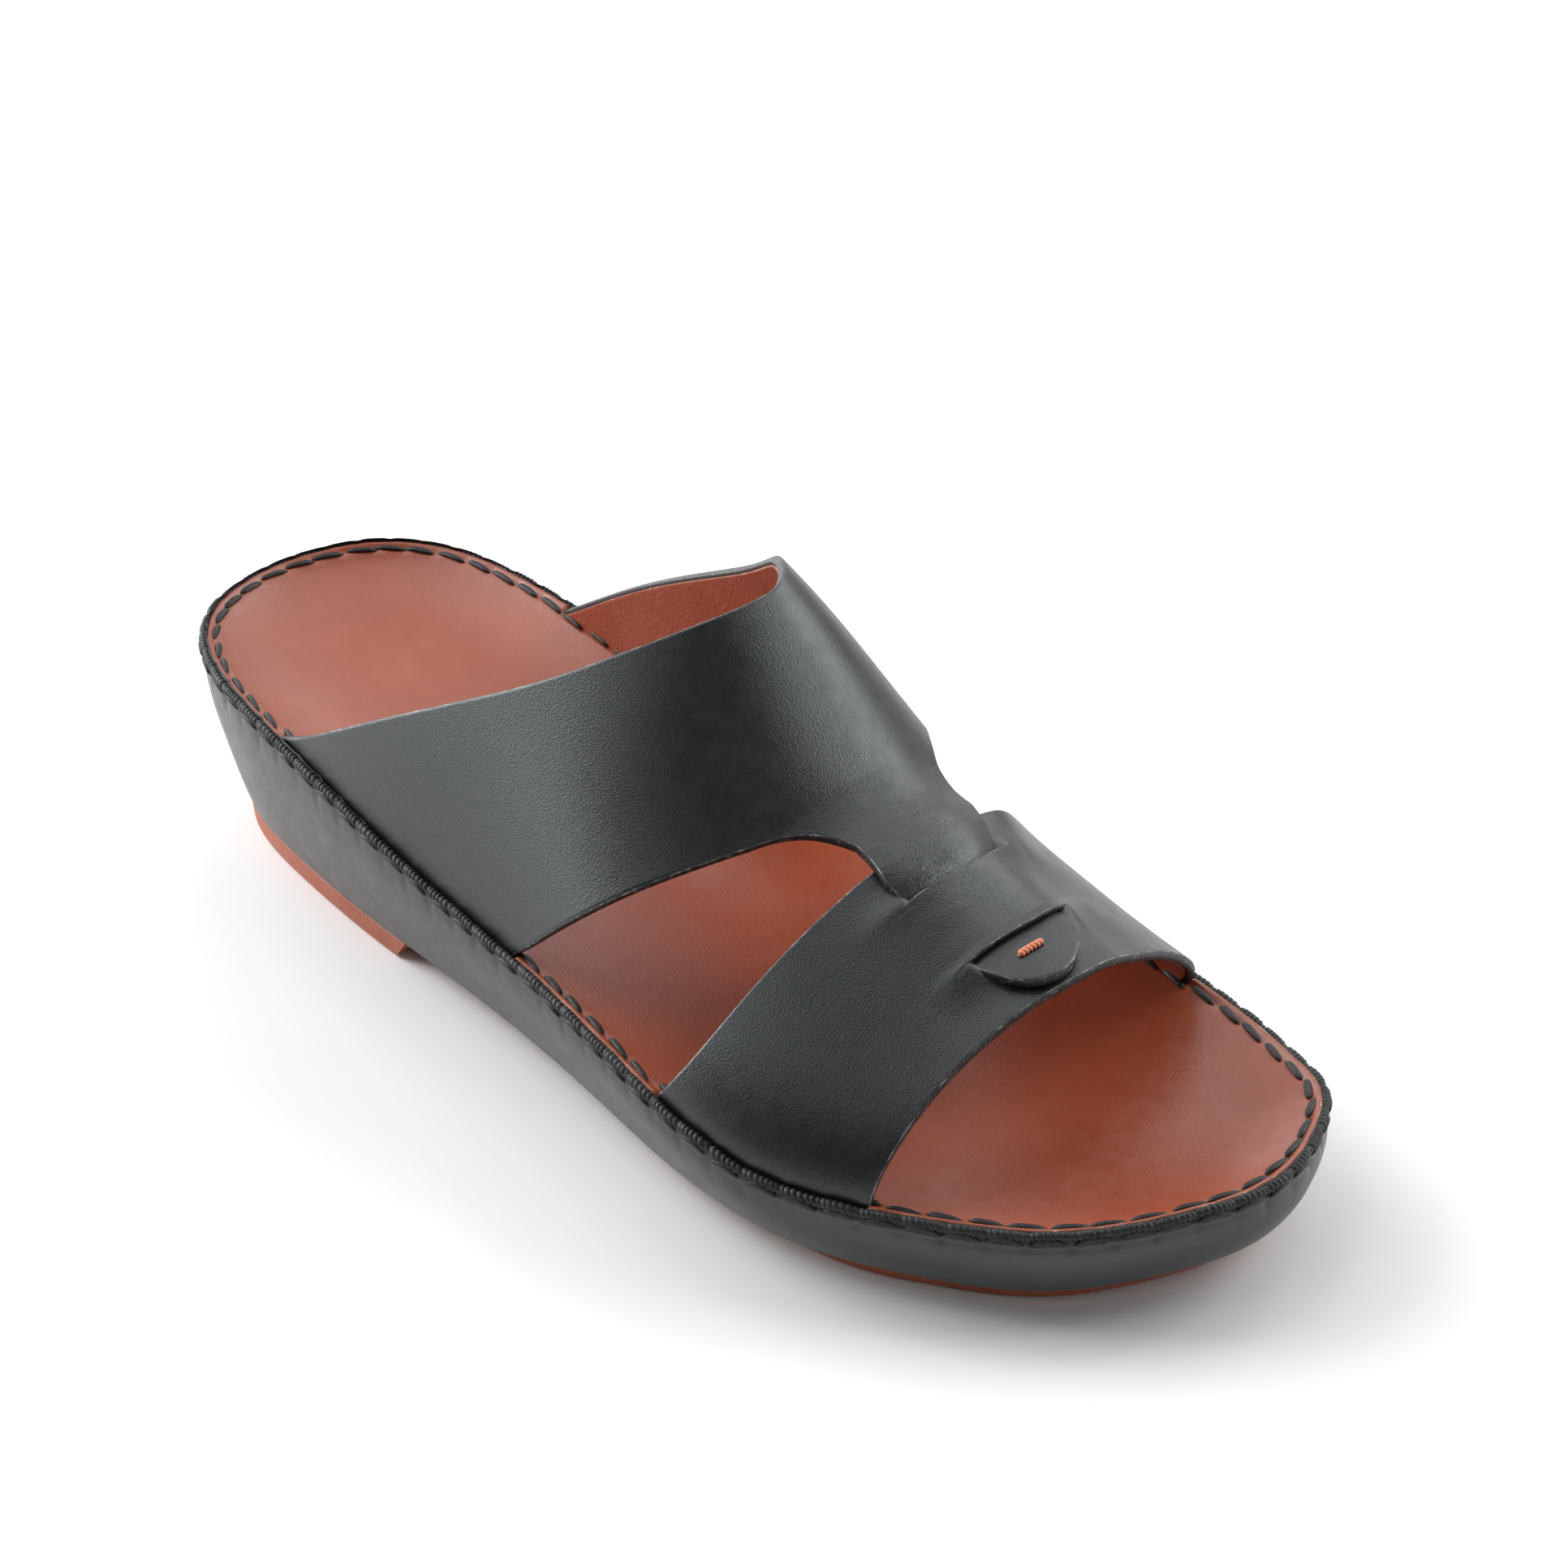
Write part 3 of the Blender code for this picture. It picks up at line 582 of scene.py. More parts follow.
def section_frame(x):
    """Values of the section across the foot at a place along the shoe."""
    right, left = line_of(RIGHT_RIM, x), line_of(LEFT_RIM, x)
    return right, left, CREST_Y(x), RIM(x), CREST(x), FULL_LEFT(x)


def last_point(x, angle_deg):
    """Outer face of the straps at a place along the shoe and an angle around the foot."""
    x, angle = np.broadcast_arrays(x, np.radians(angle_deg))
    right, left, crest_y, rim, crest, full_left = section_frame(x)
    is_right = np.cos(angle) > 0.0
    power = 2.0 / np.where(is_right, FULL_RIGHT, full_left)
    power = mix(1.0, power, ease(np.abs(np.degrees(angle) - 90.0) / CREST_ROUND))
    reach = np.where(is_right, right, left) - crest_y
    y = crest_y + reach * np.abs(np.cos(angle)) ** power
    z = rim + (crest - rim) * np.clip(np.sin(angle), 0.0, 1.0) ** power
    return np.stack([x, y, z], axis=-1)


def angle_at(x, y):
    """Angle around the foot of the point of the last at a plan place."""
    right, left, crest_y, _, _, full_left = section_frame(x)
    is_right = y < crest_y
    share = np.clip(np.abs(y - crest_y) / np.abs(np.where(is_right, right, left) - crest_y), 0.0, 1.0)
    power = 2.0 / np.where(is_right, FULL_RIGHT, full_left)
    turn = np.degrees(np.arccos(share ** (1.0 / power)))
    for _ in range(ANGLE_ROUNDS):
        eased = mix(1.0, power, ease((90.0 - turn) / CREST_ROUND))
        turn = np.degrees(np.arccos(share ** (1.0 / eased)))
    return np.where(is_right, turn, 180.0 - turn)


def last_normal(x, angle_deg):
    step, turn = NORMAL_STEP.x, NORMAL_STEP.angle
    angle = np.clip(angle_deg, turn, 180.0 - turn)
    along = last_point(x + step, angle) - last_point(x - step, angle)
    turned = last_point(x, angle + turn) - last_point(x, angle - turn)
    return unit(np.cross(along, turned))


def layer(x, angle, offset):
    """Points lifted off the last by an offset."""
    lift = np.broadcast_to(offset, x.shape)[..., None]
    return last_point(x, angle) + last_normal(x, angle) * lift


def with_feet(grid):
    """Grid with a foot, tucked into the rim, added at both ends of its rows."""
    ends = grid[:, :1].copy(), grid[:, -1:].copy()
    for end in ends:
        end[..., 2] = RIM(end[..., 0]) - FOOT_TUCK
    return np.concatenate([ends[0], grid, ends[1]], axis=1)


def graded(count, edge=0.35):
    """Shares from 0 to 1 with closer steps at both ends."""
    even = np.linspace(0.0, 1.0, count + 1)
    return even - edge * np.sin(math.tau * even) / math.tau


# Creases: start and end in plan, width and depth
CREASE_FADE = (0.25, 0.4)
NECK_CREASES = (
    # x0, y0, x1, y1, width, depth
    (63.4, -7.0, 62.6, 6.0, 0.60, 0.12),
    (61.3, -8.5, 60.8, 1.0, 0.60, 0.10),
    (59.4, -6.0, 59.8, 7.0, 0.70, 0.10),
    (57.3, -8.0, 56.2, 3.0, 0.60, 0.08),
    (54.6, -5.0, 55.6, 9.0, 0.80, 0.08),
    (62.4, 9.0, 61.2, 16.0, 0.60, 0.08),
    (51.6, -7.0, 50.4, 4.0, 0.90, 0.09),
    (47.5, -3.0, 48.6, 12.0, 1.00, 0.08),
    (43.8, 0.0, 42.6, 10.0, 1.10, 0.08),
    (39.0, 2.0, 40.6, 14.0, 1.30, 0.07),
    (64.9, -6.0, 64.2, 2.0, 0.40, 0.07),
    (62.3, -8.0, 61.6, -1.0, 0.40, 0.07),
    (60.2, -7.5, 60.6, 1.0, 0.40, 0.06),
    (58.4, -6.0, 57.8, 3.0, 0.40, 0.06),
    (56.0, -7.0, 55.2, 0.0, 0.40, 0.05),
    (53.2, -6.0, 52.6, 3.0, 0.45, 0.05),
    (63.8, 6.0, 63.0, 14.0, 0.40, 0.06),
)
STRAP_CREASES = (
    # x0, y0, x1, y1, width, depth
    (83.6, -10.6, 84.6, -14.6, 0.45, 0.08),
    (83.0, -10.6, 82.2, -15.0, 0.40, 0.07),
    (82.4, -10.6, 80.4, -14.0, 0.45, 0.05),
    (84.4, -11.0, 86.8, -14.0, 0.45, 0.05),
    (73.0, -4.0, 72.2, 12.0, 0.45, 0.06),
    (75.2, -6.0, 74.6, 8.0, 0.45, 0.05),
    (77.0, -2.0, 76.6, 10.0, 0.45, 0.05),
    (71.4, 2.0, 70.6, 13.0, 0.45, 0.05),
)


def creases(table, x, y):
    """Depth of the creases at a plan place."""
    depth = np.zeros_like(x)
    for x0, y0, x1, y1, width, deep in table:
        run = np.array([x1 - x0, y1 - y0])
        length = np.hypot(*run)
        run /= length
        along = ((x - x0) * run[0] + (y - y0) * run[1]) / length
        aside = (x - x0) * -run[1] + (y - y0) * run[0]
        ends = ease(along / CREASE_FADE[0]) * ease((1.0 - along) / CREASE_FADE[1])
        depth += deep * bump(aside, width) * ends
    return depth


# Straps
def neck_half(x, side):
    """Half width of the neck on one side of its axis."""
    rise, fall = NECK_FLARE[side]
    return NECK_HALF + rise * np.exp(-(x - NECK_START) / fall)


def neck_axis(x):
    return line_of(NECK_AXIS, x)


ROOT_RIGHT = neck_half(NECK_START, "right")
ROOT_LEFT = neck_half(NECK_START, "left")


def rear_side(side, steps):
    """Front edge of the rear strap on one side, from the rim up to the neck's root."""
    right = side == "right"
    turn = float(angle_at(NECK_START, neck_axis(NECK_START) + (-ROOT_RIGHT if right else ROOT_LEFT)))
    rise_end = turn if right else 180.0 - turn
    knots = np.append(column(REAR_FRONT, 0), rise_end)
    edge = spline(knots, np.append(column(REAR_FRONT, 1 if right else 2), NECK_START))
    rise = np.linspace(0.0, rise_end, steps + 1)
    return edge(rise), rise if right else 180.0 - rise


def slot_bow(y):
    """How far the slots curve back on the left side."""
    return SLOT_BOW.bend * np.clip(y - SLOT_BOW.start, 0.0, SLOT_BOW.reach) ** 2


def bridge_fade(y):
    """1 in the middle of the bridge, falling to 0 on both sides."""
    return ease((BRIDGE.half + BRIDGE.fade - np.abs(y - NECK_AXIS[-1][1])) / BRIDGE.fade)


def strip_lift(x, y):
    """Height of the neck, its strip and the tab, arched across like the bridge above."""
    square = x + slot_bow(y) * smooth(x, *SLOT_BOW.neck)
    rise = line_of(NECK_RISE, square[..., None] + RISE_SMOOTH).mean(axis=-1)
    arch = STRIP_ARCH.rise * smooth(x, *STRIP_ARCH.x)
    arch = arch * mix(1.0, STRIP_ARCH.kept, smooth(x, *STRIP_ARCH.tab))
    return rise - arch * (1.0 - bridge_fade(y))


def strip_thickness(x):
    """Thickness of the neck's leather, skived where it passes under the bridge."""
    under = smooth(x, *STRIP_SKIVED.start) * smooth(x, *STRIP_SKIVED.end)
    return mix(STRIP_LEATHER, STRIP_SKIVED.thick, under)


def strap_body(trim):
    """Plan grid of the rear strap, and its columns at the neck's root, counted with the right foot."""
    side_steps, across_steps = BODY_STEPS.side, BODY_STEPS.across
    right_x, right_turn = rear_side("right", side_steps)
    left_x, left_turn = rear_side("left", side_steps)
    y = neck_axis(NECK_START) - ROOT_RIGHT + cosine_steps(across_steps)[1:-1] * (ROOT_RIGHT + ROOT_LEFT)
    root_x = np.full(len(y), NECK_START)
    front_x = np.hstack([right_x, root_x, left_x[::-1]])
    front_turn = np.hstack([right_turn, angle_at(root_x, y), left_turn[::-1]])
    first, last, count = side_steps, side_steps + across_steps, len(front_x)
    rear_turn = np.interp(np.arange(count), [0, first, last, count - 1], [0.0, *BODY_ROOT, 180.0])
    rear_x = curve_of(REAR_EDGE, 1)(rear_turn)
    run = trim + (1.0 - 2.0 * trim) * graded(BODY_STEPS.rows)[:, None]
    return mix(rear_x, front_x, run), mix(rear_turn, front_turn, run), slice(first + 1, last + 2)


def neck_across():
    """Places across the neck's root, from -1 at its right edge to 1 at its left."""
    y = cosine_steps(BODY_STEPS.across) * (ROOT_RIGHT + ROOT_LEFT) - ROOT_RIGHT
    return np.where(y < 0.0, y / ROOT_RIGHT, y / ROOT_LEFT)


def neck_plan(rows, end_x, across):
    """Plan grid of the neck and its strip from the root to a place under the bridge."""
    run = np.linspace(0.0, 1.0, rows + 1)[1:, None]
    x = mix(NECK_START, end_x, run)
    half = np.where(across < 0.0, neck_half(x, "right"), neck_half(x, "left"))
    y = neck_axis(x) + across * half
    tab_y = TAB.centre[1] + across * TAB.across[1] + TAB.root * TAB.tip[1]
    return np.broadcast_to(x, y.shape), mix(y, tab_y, smooth(x, *TAB_MERGE))


def strap_with_strip(name, body, strip, root, materials, edge_round=EDGE_ROUND):
    """Sheet of the rear strap with a strip that goes on from some of its columns."""
    rows, cols = body[0].shape[:2]
    index = np.arange(rows * cols).reshape(rows, cols)
    extra = rows * cols + np.arange(strip[0].size // 3).reshape(strip[0].shape[:2])
    faces = np.vstack([grid_quads(index), grid_quads(np.vstack([index[-1:, root], extra]))])
    outer, inner = (np.vstack([b.reshape(-1, 3), s.reshape(-1, 3)]) for b, s in zip(body, strip))
    return shell(name, outer, inner, faces[:, ::-1], materials, edge_round)


def make_rear_strap():
    x, turn, root = strap_body(0.0)
    body = [with_feet(layer(x, turn, offset)) for offset in (0.0, -STRIP_LEATHER)]
    across = neck_across()
    tab_root = TAB.centre[0] + TAB.root * TAB.tip[0]
    neck_x, neck_y = neck_plan(NECK_ROWS.strap, tab_root, across)
    reach = np.sqrt(np.clip(1.0 - across ** 2, 0.0, 1.0))
    along = mix(TAB.root, reach, graded(TAB_ROWS.count, TAB_ROWS.edge)[1:, None])
    slant = across * TAB.across[0] * ease(along / TAB.fade + 1.0)
    tab_x = TAB.centre[0] + slant + along * TAB.tip[0]
    tab_y = TAB.centre[1] + across * TAB.across[1] + along * TAB.tip[1]
    strip_x = np.vstack([neck_x, tab_x])
    strip_y = np.vstack([neck_y, tab_y])
    lift = strip_lift(strip_x, strip_y) - creases(NECK_CREASES, strip_x, strip_y)
    strip_turn = angle_at(strip_x, strip_y)
    strip = [layer(strip_x, strip_turn, lift - depth) for depth in (0.0, strip_thickness(strip_x))]
    return strap_with_strip("rear_strap", body, strip, root, [BLACK, EDGE_BLACK, EDGE_PAINTED_HIGHLIGHT])


def lining_depths(thick):
    """Depths of both faces of the lining under leather of a thickness."""
    depth = thick - LINING.press
    return depth, depth + LINING.thick


def make_rear_lining():
    x, turn, root = strap_body(LINING.trim)
    depths = lining_depths(STRIP_LEATHER)
    body = [with_feet(layer(x, turn, -depth)) for depth in depths]
    neck_x, neck_y = neck_plan(NECK_ROWS.lining, NECK_LINED, neck_across() * LINING.neck)
    lift = strip_lift(neck_x, neck_y)
    neck_turn = angle_at(neck_x, neck_y)
    strip = [layer(neck_x, neck_turn, lift - depth) for depth in depths]
    strap_with_strip("rear_lining", body, strip, root, [TAN_LINING, RAW_EDGE], LINING.round)


def bridge_lift(x, y):
    """Height of the front strap between its slots, where the strip passes under it."""
    return line_of(BRIDGE_RISE, x + slot_bow(y)) * bridge_fade(y)


def margin_lift(x, y, slot):
    """Height of the front strap before and behind its slots: low at the slots, raised beside them."""
    square = x + slot_bow(y)
    slot_x, middle, half, held, length = SLOTS[slot]
    reach = np.where(y < middle, SLOT_FADE.right, SLOT_FADE.left)
    reach = reach + SLOT_FADE.spread * np.abs(square - slot_x)
    beside = mix(held, 1.0, ease((np.abs(y - middle) - half + reach) / reach))
    return bridge_lift(slot_x - slot_bow(y), y) * beside * bump(square - slot_x, length)


def lobe_lift(x, y):
    """Swelling of the front strap on the left of the neck."""
    across = bump(y - neck_axis(x) - LOBE.y, LOBE.width) * smooth(y, *LOBE.start_y)
    return LOBE.rise * smooth(x + slot_bow(y), *LOBE.x) * across


def strap_thickness(x, y):
    """Thickness of the front strap, skived along the slots so that the strip has room."""
    thick = np.full_like(x, STRAP_LEATHER)
    for slot_x, middle, half, *_ in SLOTS.values():
        inside = ease((half - np.abs(y - middle)) / SLOT_FADE.right)
        thick -= SLOT_SKIVE.depth * inside * bump(x + slot_bow(y) - slot_x, SLOT_SKIVE.reach)
    return thick


def front_edges(turn):
    """Rear and front edge of the front strap at angles around the foot."""
    return curve_of(FRONT_STRAP, 1)(turn), curve_of(FRONT_STRAP, 2)(turn)


def slot_line(slot, turn):
    """Line of a slot at angles around the foot."""
    x = np.full_like(turn, SLOTS[slot][0])
    for _ in range(SLOT_ROUNDS):
        x = SLOTS[slot][0] - slot_bow(last_point(x, turn)[..., 1])
    return x


def make_front_strap():
    """Front strap in three bands that part at the slots, where the middle one is raised."""
    turn = np.linspace(0.0, 180.0, FRONT_STEPS.strap + 1)
    rear, front = front_edges(turn)
    stops = (rear, slot_line("rear", turn), slot_line("front", turn), front)
    bands, faces = [], []
    total, before = 0, None
    for k, (slot, rows) in enumerate(FRONT_BANDS):
        x = mix(stops[k], stops[k + 1], graded(rows, BAND_EDGE)[:, None])
        angle = np.broadcast_to(turn, x.shape)
        y = last_point(x, angle)[..., 1]
        lift = margin_lift(x, y, slot) if slot else bridge_lift(x, y)
        lift = lift + lobe_lift(x, y) - creases(STRAP_CREASES, x, y)
        depths = 0.0, strap_thickness(x, y)
        bands.append([with_feet(layer(x, angle, lift - depth)).reshape(-1, 3) for depth in depths])
        index = total + np.arange(x.shape[0] * (x.shape[1] + 2)).reshape(x.shape[0], -1)
        total += index.size
        if before is not None:
            joined = np.pad(np.abs(lift[0] - before[1]) < SLOT_OPEN, 1, constant_values=True)
            index[0] = np.where(joined, before[0], index[0])
        before = index[-1], lift[-1]
        faces.append(grid_quads(index))
    used, faces = np.unique(np.vstack(faces)[:, ::-1], return_inverse=True)
    outer, inner = (np.vstack(points)[used] for points in zip(*bands))
    shell("front_strap", outer, inner, faces.reshape(-1, 4), [BLACK, EDGE_BLACK, EDGE_PAINTED_HIGHLIGHT])


def make_front_lining():
    turn = np.linspace(0.0, 180.0, FRONT_STEPS.lining + 1)
    rear, front = front_edges(turn)
    trim = LINING.front_trim
    run = trim + (1.0 - 2.0 * trim) * graded(LINING_ROWS)[:, None]
    x = mix(rear, front, run)
    angle = np.broadcast_to(turn, x.shape)
    lift = lobe_lift(x, last_point(x, angle)[..., 1])
    outer, inner = (with_feet(layer(x, angle, lift - depth)) for depth in lining_depths(STRAP_LEATHER))
    faces = grid_quads(np.arange(outer.shape[0] * outer.shape[1]).reshape(outer.shape[:2]))[:, ::-1]
    shell("front_lining", outer.reshape(-1, 3), inner.reshape(-1, 3), faces,
          [TAN_LINING, RAW_EDGE], LINING.round)


# Rim, wall and footbed
STITCH_GOAL = 8.0
STITCH_COUNT = 2 * round(PERIMETER / STITCH_GOAL / 2.0)
STITCH_PITCH = PERIMETER / STITCH_COUNT
STITCH_INSET = 3.7
HOLE = Values(width=1.1, between=0.5)
WALL_STEPS = 1100
WALL_ROWS = np.hstack([[-0.10, -0.05], np.linspace(0.0, 1.0, 27)])
WALL_TOP_SLOPE = 12.0
PUCKER = Values(depth=0.42, level=0.14, reach=3.2, strength=0.75, wave=(0.45, (43.0, 26.0, 13.0), 17))
SEAM = Values(depth=0.28, drop=0.4, width=1.5)
WALL_SWELL = Values(wave=(0.13, (47.0, 29.0, 17.0), 3), share=0.3, width=0.35)
WALL_UNDER = (
    # further inset under the platform, drop
    (1.0, 0.12), (2.2, 0.18), (9.0, 0.0),
)


def pinch(s, shift=0.0):
    """1 at the holes between stitches, 0 between them."""
    away = (s / STITCH_PITCH + shift + 0.5) % 1.0 - 0.5
    return bump(away * STITCH_PITCH, HOLE.width)


def wobble(s, size, lengths, seed):
    """Slow irregular wave along the rim, about as high and deep as its size."""
    shifts = np.random.default_rng(seed).uniform(0.0, math.tau, len(lengths))
    waves = [np.sin(math.tau * s * round(PERIMETER / length) / PERIMETER + shift)
             for length, shift in zip(lengths, shifts)]
    return size * (sum(waves) / len(waves))


def make_wall():
    """Leather wrap of the platform, puckered by the seam and turned under to the sole."""
    count = WALL_STEPS
    s = np.arange(count) * PERIMETER / count
    foot = rim_point(s, WALL_TOP_INSET + WALL_TUCK)
    base = base_height(foot[:, 0])
    toe = smooth(foot[:, 0], *WALL_TOE_X)
    tall = foot[:, 2] - base
    pucker = PUCKER.strength + wobble(s, *PUCKER.wave)
    pucker = pucker * (PUCKER.depth * pinch(s, HOLE.between) - PUCKER.level)
    swell = (1.0 - toe) * wobble(s, *WALL_SWELL.wave)
    rings = []
    for share in WALL_ROWS:
        tuck = mix(PROFILE_HEEL(share), PROFILE_TOE(share), toe)
        inset = WALL_TOP_INSET + WALL_TUCK * tuck + WALL_TOP_SLOPE * max(0.0, -share)
        inset = inset + pucker * bump(max(share, 0.0) * tall, PUCKER.reach)
        inset = inset + SEAM.depth * bump(share * tall - SEAM.drop, SEAM.width)
        inset = inset + swell * bump(share - WALL_SWELL.share, WALL_SWELL.width)
        plan = rim_point(s, inset)
        top = plan[:, 2] - WALL_TOP_DROP
        rings.append(np.column_stack([plan[:, :2], mix(top, base, share)]))
    for extra, drop in WALL_UNDER:
        plan = rim_point(s, WALL_TOP_INSET + WALL_TUCK + extra)
        rings.append(np.column_stack([plan[:, :2], base - drop]))
    faces = ring_quads(len(rings), count).tolist()
    faces += cap_faces((len(rings) - 1) * count, count, 0)
    made = add_piece("wall", np.vstack(rings), faces, [WALL_BLACK])
    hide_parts("midsole")


ROLL = Values(
    inset=1.0, drop=0.66, radius=1.0, tall=1.04, sag=0.26, sides=12, rib=1.2, rib_steps=10, height=0.22,
    strength=0.85, level=0.75, power=4, slant=0.3, lean=0.6)
ROLL_WAVES = {
    # size, lengths, seed
    "place": (0.55, (23.0, 9.7, 41.0), 11),
    "strength": (0.35, (57.0, 19.0, 13.0), 5),
    "radius": (0.10, (8.0, 15.0, 27.0), 21),
    "inset": (0.12, (33.0, 21.0), 31),
    "height": (0.10, (26.0, 14.0), 33),
}


def make_roll():
    """Rim overcast with thread: a bead with close, slightly slanted ribs."""
    ribs = round(PERIMETER / ROLL.rib)
    count, sides = ribs * ROLL.rib_steps, ROLL.sides
    s = (np.arange(count) * PERIMETER / count)[:, None]
    turn = np.arange(sides)[None, :] * math.tau / sides
    wave = {key: wobble(s, *row) for key, row in ROLL_WAVES.items()}
    phase = (s + wave["place"] * ROLL.rib + ROLL.slant * np.sin(turn - ROLL.lean)) * ribs / PERIMETER
    bead = 1.0 - np.abs(np.cos(math.pi * phase)) ** ROLL.power
    strength = ROLL.height * (ROLL.strength + wave["strength"])
    radius = ROLL.radius + strength * (bead - ROLL.level) + wave["radius"]
    sag = ROLL.sag * pinch(s, HOLE.between)
    inset = ROLL.inset - radius * np.cos(turn) + wave["inset"] + sag
    height = -ROLL.drop + ROLL.tall * radius * np.sin(turn) + wave["height"] - sag
    points = rim_point(s, inset, height)
    index = np.arange(count * sides).reshape(count, sides)
    index = np.pad(index, ((0, 1), (0, 1)), mode="wrap")
    made = add_piece("rim_roll", points.reshape(-1, 3), grid_quads(index).tolist(), [THREAD],
                     sharp_deg=75.0)
    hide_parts("edge_roll")


LIP = (
    # inset, height over the rim
    (1.95, -0.95), (1.68, -0.45), (1.62, -0.12), (1.72, 0.12), (1.95, 0.25), (2.25, 0.25),
    (2.55, 0.10), (2.90, -0.18), (3.25, -0.46), (3.65, -0.62), (4.15, -0.68), (4.80, -0.74),
    (5.60, -0.86), (6.60, -1.08), (7.60, -1.38), (8.60, -1.75),
)
LIP_RAW = 4
GROOVE = Values(width=1.1, depth=0.26)
LIP_WAVE = Values(wave=(0.05, (19.0, 12.0, 7.5), 41), inset=2.5, width=1.5)
LIP_TUCK = Values(drop=1.5, room=1.5, inset=(3.0, 5.0))
LIP_TO_DISH = (3.3, 6.0)
FOOTBED_STEPS = Values(half=500, rows=33)


def make_footbed():
    """Tan footbed: lip over the roll, stitched groove, then the dish."""
    right = np.linspace(0.0, TOE_ARC, FOOTBED_STEPS.half + 1)
    turn = np.interp(right, ARC[:HALF_STEPS + 1], HALF_TURN)
    left = np.interp(turn, HALF_TURN, ARC[HALF_STEPS:][::-1])
    s = np.hstack([right, left[-2:0:-1]])
    turn = np.hstack([turn, turn[-2:0:-1]])
    count = len(s)
    edge = rim_point(s, RIM_INSET)
    middle_x = np.clip(side_points(turn, 1)[:, 0], HEEL_X + DISH_END, TOE_X - DISH_END)
    middle = np.stack([middle_x, CENTRE(turn)], axis=-1)
    reach = np.linalg.norm(middle - edge[:, :2], axis=1)

    def dish(x, share):
        drop = RIM_STEP + DISH(x) * (1.0 - (1.0 - share) ** DISH_POWER)
        left = (s > TOE_ARC) * ease(share / ARCH.across) * ease((1.0 - share) / ARCH.across)
        return RIM(x) - drop + ARCH.rise * left * bump(x - ARCH.x, ARCH.length)

    tucked = LIP_TUCK.drop * strap_cover(s, LIP_TUCK.room)
    wave = wobble(s, *LIP_WAVE.wave)
    rings = []
    for inset, height in LIP:
        rise = height - GROOVE.depth * bump(inset - STITCH_INSET, GROOVE.width) * pinch(s)
        rise = rise + wave * bump(inset - LIP_WAVE.inset, LIP_WAVE.width)
        rise = rise - tucked * (1.0 - smooth(inset, *LIP_TUCK.inset))
        plan = rim_point(s, inset, rise)
        share = np.clip((inset - RIM_INSET) / reach, 0.0, 1.0)
        plan[:, 2] = mix(plan[:, 2], dish(plan[:, 0], share), smooth(inset, *LIP_TO_DISH))
        rings.append(plan)
    start = rings[-1][:, :2]
    first_share = (LIP[-1][0] - RIM_INSET) / reach
    for run in np.linspace(0.0, 1.0, FOOTBED_STEPS.rows + 1)[1:]:
        plan = mix(start, middle, run)
        rings.append(np.column_stack([plan, dish(plan[:, 0], mix(first_share, 1.0, run))]))
    points, faces = welded(np.vstack(rings), ring_quads(len(rings), count))
    kinds = (np.arange(len(faces)) < LIP_RAW * count).astype(int)
    made = add_piece("footbed_leather", points, faces, [TAN, RAW_EDGE], kinds, sharp_deg=60.0)
    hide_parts("footbed")


STITCH_RUN = 2.4
STITCH_ENDS = Values(power=4.0, thin=0.02, full=0.6)
RIM_STITCH = Values(
    shift=(-0.45, 0.45), inset=(-0.14, 0.14), slant=(0.18, 0.42), length=(0.88, 0.99), width=(1.4, 1.65),
    height=(0.9, 1.05), level=-0.36, bow=0.34)
RIM_STITCH_TILT = Values(reach=1.2, inner=-0.30, outer=-0.20)
BESIDE_STRAP = Values(inset=0.9, room=3.0)
WALL_STITCH = Values(
    shift=(-0.06, 0.06), level=(-2.45, -2.15), tilt=(-0.25, 0.25), length=(0.80, 0.92),
    width=(1.25, 1.55), height=(0.9, 1.1), inset=0.22, bow=0.35, sag=-1.0)


def capsule(rings=9, sides=8):
    """Unit stitch along X: length 1, width 1, height 1, thin at both ends."""
    run = np.linspace(-1.0, 1.0, rings)
    girth = np.clip(1.0 - np.abs(run) ** STITCH_ENDS.power, STITCH_ENDS.thin, 1.0) ** STITCH_ENDS.full
    turn = np.arange(sides) * math.tau / sides
    x = np.repeat(0.5 * run, sides)
    y = 0.5 * np.outer(girth, np.cos(turn)).ravel()
    z = 0.5 * np.outer(girth, np.sin(turn)).ravel()
    faces = ring_quads(rings, sides).tolist()
    faces += [list(range(sides))[::-1], list(range((rings - 1) * sides, rings * sides))]
    return np.stack([x, y, z], axis=-1), faces


def stitches(name, places, along, up, sizes, bow, sag=0.0):
    """Row of stitches in one mesh; each dips at its ends by its bow and sags aside."""
    unit_points, unit_faces = capsule()
    bend = (2.0 * unit_points[:, :1]) ** 2
    along = unit(along)
    side = unit(np.cross(up, along))
    top = np.cross(along, side)
    points, faces = [], []
    for k, at in enumerate(places):
        shape = unit_points * sizes[k] - (0.0, sag, bow) * np.hstack([bend, 1.0 - bend, bend])
        points.append(at + shape[:, :1] * along[k] + shape[:, 1:2] * side[k] + shape[:, 2:] * top[k])
        faces += [tuple(k * len(unit_points) + i for i in face) for face in unit_faces]
    add_piece(name, np.vstack(points), faces, [THREAD], sharp_deg=70.0)


def spread(limits):
    """Random values for a row of stitches."""
    return RNG.uniform(*limits, STITCH_COUNT)


def stitch_sizes(table):
    length, width, height = (spread(limits) for limits in (table.length, table.width, table.height))
    return np.column_stack([STITCH_PITCH * length, width, height])


